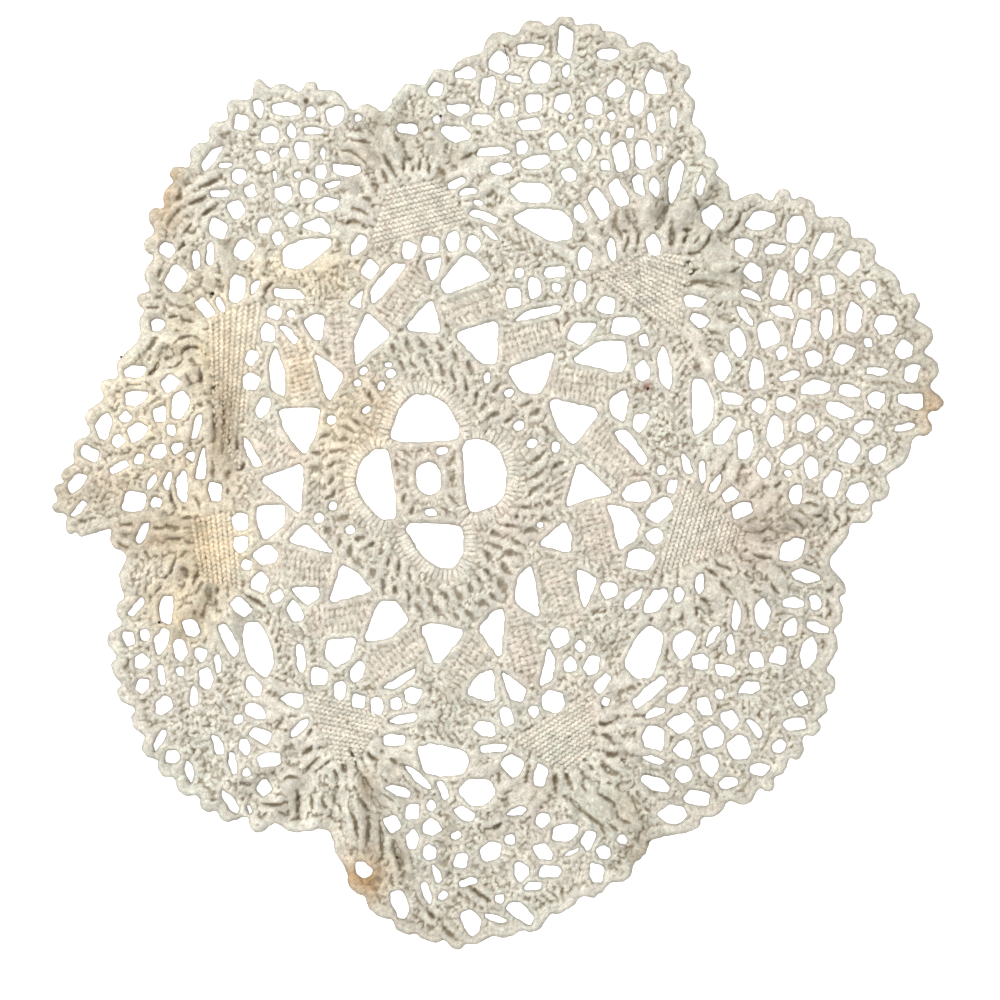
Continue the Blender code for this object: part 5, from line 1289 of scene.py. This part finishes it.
def filled(loops, points, extra):
    """Triangles that fill the loops, where those that turn clockwise are holes."""
    places = [Vector(point) for point in np.vstack((points, extra)).tolist()]
    solid = [np.dot(points[loop, 0], np.roll(points[loop, 1], -1))
             > np.dot(points[loop, 1], np.roll(points[loop, 0], -1)) for loop in loops]
    rings = [loop if whole else loop[::-1] for loop, whole in zip(loops, solid)]
    out = delaunay_2d_cdt(places, [], rings, 0, 1e-6, True)
    flat, found = np.array([tuple(v) for v in out[0]]), []
    for tri, source in zip(out[2], out[5]):
        if sum(1 if solid[ring] else -1 for ring in source) == 1:
            u, v = flat[tri[1]] - flat[tri[0]], flat[tri[2]] - flat[tri[0]]
            found.append(tri if u[0] * v[1] > u[1] * v[0] else tri[::-1])
    return flat, [source[0] if source else -1 for source in out[3]], np.array(found)


def base_cloth(thick):
    """The thin closed cloth inside the lace, from edge to edge."""
    loops, points = [], []
    for loop in [grown(plan()["outline"], -0.5)] + [
            grown(loop, 0.4)[::-1] for loop in plan()["gaps"]]:
        loops.append(list(range(len(points), len(points) + len(loop))))
        points += loop.tolist()
    points, _, faces = filled(loops, np.array(points),
                              inner_places(plan()["chart"], 0, None, 2.0))
    used = np.unique(faces)
    order = np.full(len(points), -1)
    order[used] = np.arange(len(used))
    points, faces, count = points[used], order[faces], len(used)
    under = lift(points)
    walls = open_sides([faces], count)
    # the base cloth is painted darker, with a light of 0.86, as painted shade where it shows deep
    # between the strands
    return cloth_object("base_cloth", np.vstack((to_frame(points, under + thick / MM),
                                                 to_frame(points, under))),
                        [faces, faces[:, ::-1] + count,
                         np.column_stack((walls[:, 0], walls[:, 0] + count,
                                          walls[:, 1] + count, walls[:, 1]))],
                        light=[0.86] * (2 * count))


def inner_places(chart, first, last, room):
    """Places well inside the cloth, every few millimetres."""
    rows, columns = np.nonzero(chart.edge[:, first:last] > room)
    columns += first
    kept = ((columns + 5 * (rows // 9 % 2)) % 10 == 0) & (rows % 9 == 0)
    return chart.low + np.column_stack((columns[kept], rows[kept])) * CELL


def open_sides(faces, count):
    """The sides that have a face on one side only, of faces grouped by their corners."""
    one, two = np.vstack([np.column_stack((group.ravel(), np.roll(group, -1, axis=1).ravel()))
                          for group in faces]).T
    alone = ~np.isin(one * count + two, two * count + one)
    return np.column_stack((one[alone], two[alone]))


def chained(after, place):
    """The closed loops in which every vertex leads to the one after it, by their places."""
    left, loops = set(sorted(after)), []
    while left:
        start = vertex = left.pop()
        loop = [place[start]]
        while after[vertex] != start:
            vertex = after[vertex]
            left.discard(vertex)
            loop.append(place[vertex])
        loops.append(loop)
    return loops


def covered(edge):
    """Faces over all cells within the lace, cut off where its edge crosses a cell.

    Gives the rows and columns of the cells' own corners, where all corners are, and the faces.
    """
    on = edge > 0
    rows, columns = np.nonzero(on)
    number = np.full(edge.shape, -1)
    number[on] = np.arange(len(rows))
    count, spots = len(rows), [np.column_stack((columns, rows)).astype(float)]
    crossings = []
    for up in (0, 1):  # where the lace's edge crosses the sides of the cells
        one = edge[:edge.shape[0] - up, :edge.shape[1] - (1 - up)]
        two = edge[up:, 1 - up:]
        crossed = (one > 0) != (two > 0)
        r, c = np.nonzero(crossed)
        share = np.clip(one[crossed] / (one[crossed] - two[crossed]), 0.05, 0.95)
        spots.append(np.column_stack((c + share * (1 - up), r + share * up)))
        table = np.full(one.shape, -1)
        table[crossed] = count + np.arange(len(r))
        count += len(r)
        crossings.append(table)
    flat, tall = crossings
    tokens = (number[:-1, :-1], number[:-1, 1:], number[1:, 1:], number[1:, :-1],
              flat[:-1, :], tall[:, 1:], flat[1:, :], tall[:, :-1])
    case = sum((tokens[corner] >= 0) << corner for corner in range(4))
    faces = []
    for kind in range(1, 16):
        ring = []
        for corner in range(4):
            if kind >> corner & 1:
                ring.append(corner)
            if (kind >> corner & 1) != (kind >> (corner + 1) % 4 & 1):
                ring.append(4 + corner)
        here = case == kind
        if here.any():
            faces.append(np.column_stack([tokens[token][here] for token in ring]))
    return rows, columns, np.vstack(spots), faces


def lace(name, first, last):
    """One strip of the worked lace between two columns of the chart, as a closed mesh."""
    chart = plan()["chart"]
    rows, columns, spots, faces = covered(chart.edge[:, first:last + 1])
    points, count = chart.low + (spots + (first, 0)) * CELL, len(spots)
    # points on the lace's edge get a little painted shade (0.1) and a light of 0.95
    over, light, crease_shade = (np.full(count, value) for value in (BLUNT, 0.95, 0.1))
    for values, field in ((over, plan()["height"]), (light, chart.light),
                          (crease_shade, plan()["deep"])):
        values[:len(rows)] = field[rows, columns + first]
    # the underside: the same edge, a few places in between, and flat
    sides = open_sides(faces, count)
    after = dict(sides.tolist())
    ring_points = sorted(after)
    place = {vertex: index for index, vertex in enumerate(ring_points)}
    extra = inner_places(chart, first + 2, last - 2, 1.0)
    _, given, lid = filled(chained(after, place), points[ring_points], extra)
    lid = np.array(given)[lid]
    # corners on the strip's cut side get a place of their own below, the others are shared
    low = np.array([vertex if vertex >= len(rows) else -1 for vertex in ring_points]
                   + [-1] * len(extra))
    fresh = low < 0
    low[fresh] = count + np.arange(fresh.sum())
    below = np.vstack((points[ring_points], extra))[fresh]
    faces.append(low[lid][:, ::-1])
    walls = np.array([(a, low[place[a]], low[place[b]], b) for a, b in sides.tolist()
                      if a < len(rows) and b < len(rows)]).reshape(-1, 4)
    corners = np.array([(a, low[place[a]], b) if a < len(rows) else (a, low[place[b]], b)
                        for a, b in sides.tolist()
                        if (a < len(rows)) != (b < len(rows))]).reshape(-1, 3)
    faces += [group for group in (walls, corners) if len(group)]
    under = lift(points)
    frame_points = np.vstack((to_frame(points, under + over), to_frame(below, lift(below) + LID)))
    # the underside is painted in shade, with a light of 0.9 and 0.9 of the colour of the creases,
    # which also darkens the walls of the gaps towards the table
    spare = np.full(len(below), 0.9)
    return cloth_object(name, frame_points, faces, np.concatenate((light, spare)),
                        np.concatenate((crease_shade, spare)))


def stitch_points(layer, rows):
    """A mesh of points, one for each stitch, with its size and turn."""
    rows = np.array(rows, float)
    places = rows[:, 1:3]
    step = 0.7
    low, high = lift(places - (step, 0)), lift(places + (step, 0))
    front, back = lift(places - (0, step)), lift(places + (0, step))
    slope = np.column_stack(((high - low) / (2 * step), (back - front) / (2 * step)))
    slope = np.clip(slope, -1.2, 1.2)
    turns = []
    for angle, (sx, sy) in zip(np.radians(rows[:, 3]), slope):
        normal = Vector((-sx, -sy, 1)).normalized()
        along = Vector((math.cos(angle), math.sin(angle), 0))
        along = (along - normal * along.dot(normal)).normalized()
        across = normal.cross(along)
        turns.append(Matrix((along, across, normal)).transposed().to_euler())
    cell = np.rint((places - plan()["chart"].low) / CELL).astype(int)
    height = lift(places) + plan()["height"][cell[:, 1], cell[:, 0]] + rows[:, 7]
    mesh = bpy.data.meshes.new(f"{layer}_points")
    mesh.from_pydata(to_frame(places, height).tolist(), [], [])
    for name, form, values in (("kind", "FLOAT", rows[:, 0]), ("light", "FLOAT", rows[:, 8]),
                               ("turn", "FLOAT_VECTOR", np.array(turns).ravel()),
                               ("size", "FLOAT_VECTOR", (rows[:, 4:7] * MM).ravel())):
        data = mesh.attributes.new(name, form, "POINT").data
        data.foreach_set("vector" if form == "FLOAT_VECTOR" else "value", values)
    return placed(f"{layer}_points", mesh)


def worked(layer, rows, sizes, finish):
    """One layer of stitches as a plain mesh that rides on the doily."""
    points = stitch_points(layer, rows)
    shapes = {"post": strand("post", 6, 4, 0.12, 0.0, 2.6, 4),
              "rope": strand("rope", 6, 5, 0.04, 0.02, 5.0, 6)}
    tree = bpy.data.node_groups.get("Crochet stitches") or stitch_tree()
    work = points.modifiers.new("stitches", "NODES")
    work.node_group = tree
    given = {f"{kind} shape": thing for kind, thing in shapes.items()}
    given.update({"Cotton": finish, "Unevenness": sizes.unevenness, "Seed": 4})
    for item in tree.interface.items_tree:
        if item.in_out == "INPUT" and item.name in given:
            work[item.identifier] = given[item.name]
    bpy.context.view_layer.update()
    ready = points.evaluated_get(bpy.context.evaluated_depsgraph_get())
    mesh = bpy.data.meshes.new_from_object(ready)
    mesh.name = layer
    for thing in [points, *shapes.values()]:
        spare = thing.data
        bpy.data.objects.remove(thing)
        bpy.data.meshes.remove(spare)
    for name in ("kind", "turn", "size"):
        if name in mesh.attributes:
            mesh.attributes.remove(mesh.attributes[name])
    mark_stains_light_and_shade(mesh)
    piece = placed(layer, mesh)
    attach(piece, "root")
    return piece


def cotton(colours):
    """Crochet cotton, spun from matt plies: soft, dull cream, fuzzy with fine fibres."""
    name = "Crochet cotton"
    if name in bpy.data.materials:
        return bpy.data.materials[name]
    material, tree = blank(name)
    place = add(tree, "ShaderNodeTexCoord").outputs["Object"]
    drift = add(tree, "ShaderNodeTexNoise", {"Scale": 1 / (26 * MM), "Detail": 2.0},
                {"Vector": place})
    colour = add(tree, "ShaderNodeMix", {"data_type": "RGBA", 6: linear(colours.net),
                                         7: linear(colours.cream)}, {0: drift})
    # discolorations, painted light and painted shade in uneven blotches, then fine flecks and the
    # painted shade in the creases
    for word in TINTS:
        much = add(tree, "ShaderNodeAttribute", {"attribute_name": word})
        blotch = add(tree, "ShaderNodeTexNoise", {"Scale": 1 / (5 * MM), "Detail": 3.0},
                     {"Vector": place})
        spread = add(tree, "ShaderNodeMapRange", {"From Min": 0.3, "From Max": 0.7,
                                                  "To Min": 0.55, "To Max": 1.1},
                     {"Value": blotch})
        share = add(tree, "ShaderNodeMath", {"operation": "MULTIPLY"},
                    {0: much.outputs["Fac"], 1: spread})
        colour = add(tree, "ShaderNodeMix",
                     {"data_type": "RGBA", 7: linear(getattr(colours, word))},
                     {0: share, 6: colour.outputs[2]})
    hue = add(tree, "ShaderNodeTexNoise", {"Scale": 1 / (2.4 * MM), "Detail": 3.0},
              {"Vector": place})
    tinted = add(tree, "ShaderNodeMix", {"data_type": "RGBA", 6: linear("#E9F6EE"),
                                         7: linear("#FFEFE4")}, {0: hue})
    colour = add(tree, "ShaderNodeMix", {"data_type": "RGBA", "blend_type": "MULTIPLY", 0: 0.7},
                 {6: colour.outputs[2], 7: tinted.outputs[2]})
    fleck = add(tree, "ShaderNodeTexNoise", {"Scale": 1 / (0.9 * MM), "Detail": 4.0,
                                             "Distortion": 1.4}, {"Vector": place})
    tone = add(tree, "ShaderNodeMapRange", {"From Min": 0.3, "From Max": 0.7,
                                            "To Min": 0.73, "To Max": 1.23}, {"Value": fleck})
    patch = add(tree, "ShaderNodeTexNoise", {"Scale": 1 / (3.4 * MM), "Detail": 2.0},
                {"Vector": place})
    shade = add(tree, "ShaderNodeMapRange", {"From Min": 0.35, "From Max": 0.65,
                                             "To Min": 0.85, "To Max": 1.12}, {"Value": patch})
    light = add(tree, "ShaderNodeAttribute", {"attribute_name": "light"})
    for factor in (shade, light.outputs["Fac"]):
        tone = add(tree, "ShaderNodeMath", {"operation": "MULTIPLY"}, {0: tone, 1: factor})
    colour = add(tree, "ShaderNodeMix", {"data_type": "RGBA", "blend_type": "MULTIPLY", 0: 1.0},
                 {6: colour.outputs[2], 7: tone})
    # painted shade: the 'deep' share blends in the colour of the creases
    deep = add(tree, "ShaderNodeAttribute", {"attribute_name": "deep"})
    colour = add(tree, "ShaderNodeMix", {"data_type": "RGBA", 7: linear(colours.crease_shade)},
                 {0: deep.outputs["Fac"], 6: colour.outputs[2]})
    # single fibres are finer, but are drawn this coarse so that the fuzz shows
    fibres = add(tree, "ShaderNodeTexNoise", {"Scale": 1 / (0.8 * MM), "Detail": 4.0,
                                              "Roughness": 0.65, "Distortion": 1.4},
                 {"Vector": place})
    bump = add(tree, "ShaderNodeBump", {"Strength": 0.75, "Distance": 0.7 * MM},
               {"Height": fibres})
    skin = add(tree, "ShaderNodeBsdfPrincipled",
               {"Roughness": 0.9, "Specular IOR Level": 0.2, "Sheen Weight": 0.12,
                "Sheen Roughness": 0.6}, {"Base Color": colour.outputs[2], "Normal": bump})
    add(tree, "ShaderNodeOutputMaterial", links={"Surface": skin})
    return material


def lint(colours):
    """Lint and fluff caught in the thread: dark, dry and without shine."""
    material = bpy.data.materials.new("Dark lint")
    material.use_nodes = True
    skin = material.node_tree.nodes["Principled BSDF"]
    for name, value in (("Base Color", linear(colours.speck)), ("Roughness", 0.95),
                        ("Specular IOR Level", 0.1)):
        skin.inputs[name].default_value = value
    return material


class DoilySizes(bpy.types.PropertyGroup):
    """Sizes of the doily's cloth and stitches."""

    base: bpy.props.FloatProperty(
        name="Base cloth", description="Thickness of the plain cloth inside the lace",
        default=0.4 * MM, unit="LENGTH")
    thick: bpy.props.FloatProperty(
        name="Lace", description="Thickness of a strand, without its raised stitches",
        default=1.15 * MM, unit="LENGTH")
    unevenness: bpy.props.FloatProperty(
        name="Unevenness", description="How much the stitches differ in size",
        default=0.05, subtype="FACTOR", min=0, max=0.3)


class DoilyColours(bpy.types.PropertyGroup):
    """Colours of the cotton and of its painted light and shade, as sRGB hex values."""

    cream: bpy.props.StringProperty(
        name="Cream", description="Main colour of the cotton", default="#E4D9D1")
    net: bpy.props.StringProperty(
        name="Net", description="Cooler greyish cream in the net", default="#DCE0D6")
    # painted light: broad patches are made paler, as if lit more strongly
    pale: bpy.props.StringProperty(
        name="Pale", description="Painted light, where the lace is made paler", default="#FBF7EE")
    yellow: bpy.props.StringProperty(
        name="Yellowed", description="Where the cotton has yellowed", default="#F6E5C5")
    brown: bpy.props.StringProperty(
        name="Scorched", description="Brownish marks on some tips", default="#CFB591")
    orange: bpy.props.StringProperty(
        name="Tea", description="Deep tea-coloured marks on two tips", default="#C79A62")
    pink: bpy.props.StringProperty(
        name="Rosy", description="Faint rosy marks", default="#DEC9BC")
    # painted shade in grooves, in the gathers and beside folds, and some broad greyer patches
    shade: bpy.props.StringProperty(
        name="Grey", description="Painted shade in grooves and gathers, and greyer places", default="#A1927A")
    rust: bpy.props.StringProperty(
        name="Rust", description="One small reddish spot", default="#B4605A")
    speck: bpy.props.StringProperty(
        name="Speck", description="Specks of lint and dirt", default="#2E2723")
    # painted shade, laid into creases, dips and slits, between worked stitches and on the
    # underside
    crease_shade: bpy.props.StringProperty(
        name="Crease", description="Painted shade deep between the strands", default="#8A7C64")


class DOILY_OT_lace(bpy.types.Operator):
    """Makes the worked lace: rim, net, bars, gathers and middle, in strips"""
    bl_idname = "doily.lace"
    bl_label = "Lace"
    bl_options = {"REGISTER"}

    def execute(self, context):
        chart = plan()["chart"]
        # the strips meet where as much lace lies to the left as their number asks for
        lies = np.cumsum((chart.edge > 0).sum(0))
        cuts = [int(np.searchsorted(lies, lies[-1] * n / STRIPS)) for n in range(1, STRIPS)]
        ends = [0, *cuts, chart.edge.shape[1] - 1]
        for number, (first, last) in enumerate(zip(ends, ends[1:]), 1):
            lace(f"lace_{number}", first, last)
        return {"FINISHED"}


class DOILY_OT_stitches(bpy.types.Operator):
    """Works the rows of the wedges and the ribs round the arches, stitch by stitch"""
    bl_idname = "doily.stitches"
    bl_label = "Rows and ribs"
    bl_options = {"REGISTER"}

    def execute(self, context):
        for layer, rows in plan()["chart"].stitches.items():
            finish = lint if layer == "specks" else cotton
            worked(layer, rows, context.scene.doily_sizes,
                                  finish(context.scene.doily_colours))
        return {"FINISHED"}


class DOILY_OT_base(bpy.types.Operator):
    """Makes the thin cloth inside the lace"""
    bl_idname = "doily.base"
    bl_label = "Base cloth"
    bl_options = {"REGISTER"}

    def execute(self, context):
        cloth = base_cloth(context.scene.doily_sizes.base)
        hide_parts("doily")
        return {"FINISHED"}


class DOILY_OT_stage(bpy.types.Operator):
    """Sets the pale table, the soft light and the camera straight above"""
    bl_idname = "doily.stage"
    bl_label = "Table, light and camera"
    bl_options = {"REGISTER"}

    def execute(self, context):
        scene = context.scene
        mesh = bpy.data.meshes.new("table")
        mesh.from_pydata([(-3, -3, 0), (3, -3, 0), (3, 3, 0), (-3, 3, 0)], [], [(0, 1, 2, 3)])
        table = placed("table", mesh)
        # plain white laminate: it stays white in the gaps, and throws less light back up
        white, tree = blank("White laminate")
        seen = add(tree, "ShaderNodeBsdfPrincipled",
                   {"Base Color": linear("#F4F3F0"), "Roughness": 0.6,
                    "Specular IOR Level": 0.2, "Emission Color": (1, 1, 1, 1),
                    "Emission Strength": 0.9})
        dull = add(tree, "ShaderNodeBsdfDiffuse", {"Color": linear("#B4B2AC")})
        path = add(tree, "ShaderNodeLightPath")
        both = add(tree, "ShaderNodeMixShader", links={0: path, 1: dull, 2: seen})
        add(tree, "ShaderNodeOutputMaterial", links={"Surface": both})
        table.data.materials.append(white)
        world = bpy.data.worlds.new("Soft room")
        world.use_nodes = True
        world.node_tree.nodes["Background"].inputs["Color"].default_value = (1, 1, 1, 1)
        world.node_tree.nodes["Background"].inputs["Strength"].default_value = 0.89
        scene.world = world
        for name, place, side, power in (("key", (-0.7, 0.48, 1.0), 0.7, 10.9),
                                         ("fill", (1.2, -0.8, 1.6), 1.4, 9.0)):
            lamp = bpy.data.lights.new(name, "AREA")
            lamp.size, lamp.energy = side, power
            light = placed(name, lamp)
            light.location = place
            light.rotation_euler = (-Vector(place)).to_track_quat("-Z", "Y").to_euler()
        lens = bpy.data.cameras.new("camera")
        lens.sensor_width, lens.lens = 36.0, 144.0
        camera = placed("camera", lens)
        camera.location = (0.00073, -0.00503, 1.202)
        scene.camera = camera
        scene.view_settings.view_transform = "Standard"
        return {"FINISHED"}


MAKERS = (DOILY_OT_lace, DOILY_OT_stitches, DOILY_OT_base, DOILY_OT_stage)


class DOILY_PT_panel(bpy.types.Panel):
    """Lists the doily's sizes, colours and steps"""
    bl_label = "Lace doily"
    bl_idname = "DOILY_PT_panel"
    bl_space_type = "VIEW_3D"
    bl_region_type = "UI"
    bl_category = "Doily"

    def draw(self, context):
        for group in (context.scene.doily_sizes, context.scene.doily_colours):
            for name in group.__annotations__:
                self.layout.prop(group, name)
        for maker in MAKERS:
            self.layout.operator(maker.bl_idname)


CLASSES = (DoilySizes, DoilyColours, *MAKERS, DOILY_PT_panel)


def register():
    for item in CLASSES:
        bpy.utils.register_class(item)
    bpy.types.Scene.doily_sizes = bpy.props.PointerProperty(type=DoilySizes)
    bpy.types.Scene.doily_colours = bpy.props.PointerProperty(type=DoilyColours)


def unregister():
    del bpy.types.Scene.doily_sizes, bpy.types.Scene.doily_colours
    for item in reversed(CLASSES):
        bpy.utils.unregister_class(item)


def main():
    register()
    for maker in MAKERS:
        group, name = maker.bl_idname.split(".")
        getattr(getattr(bpy.ops, group), name)()


if __name__ == "__main__":
    main()
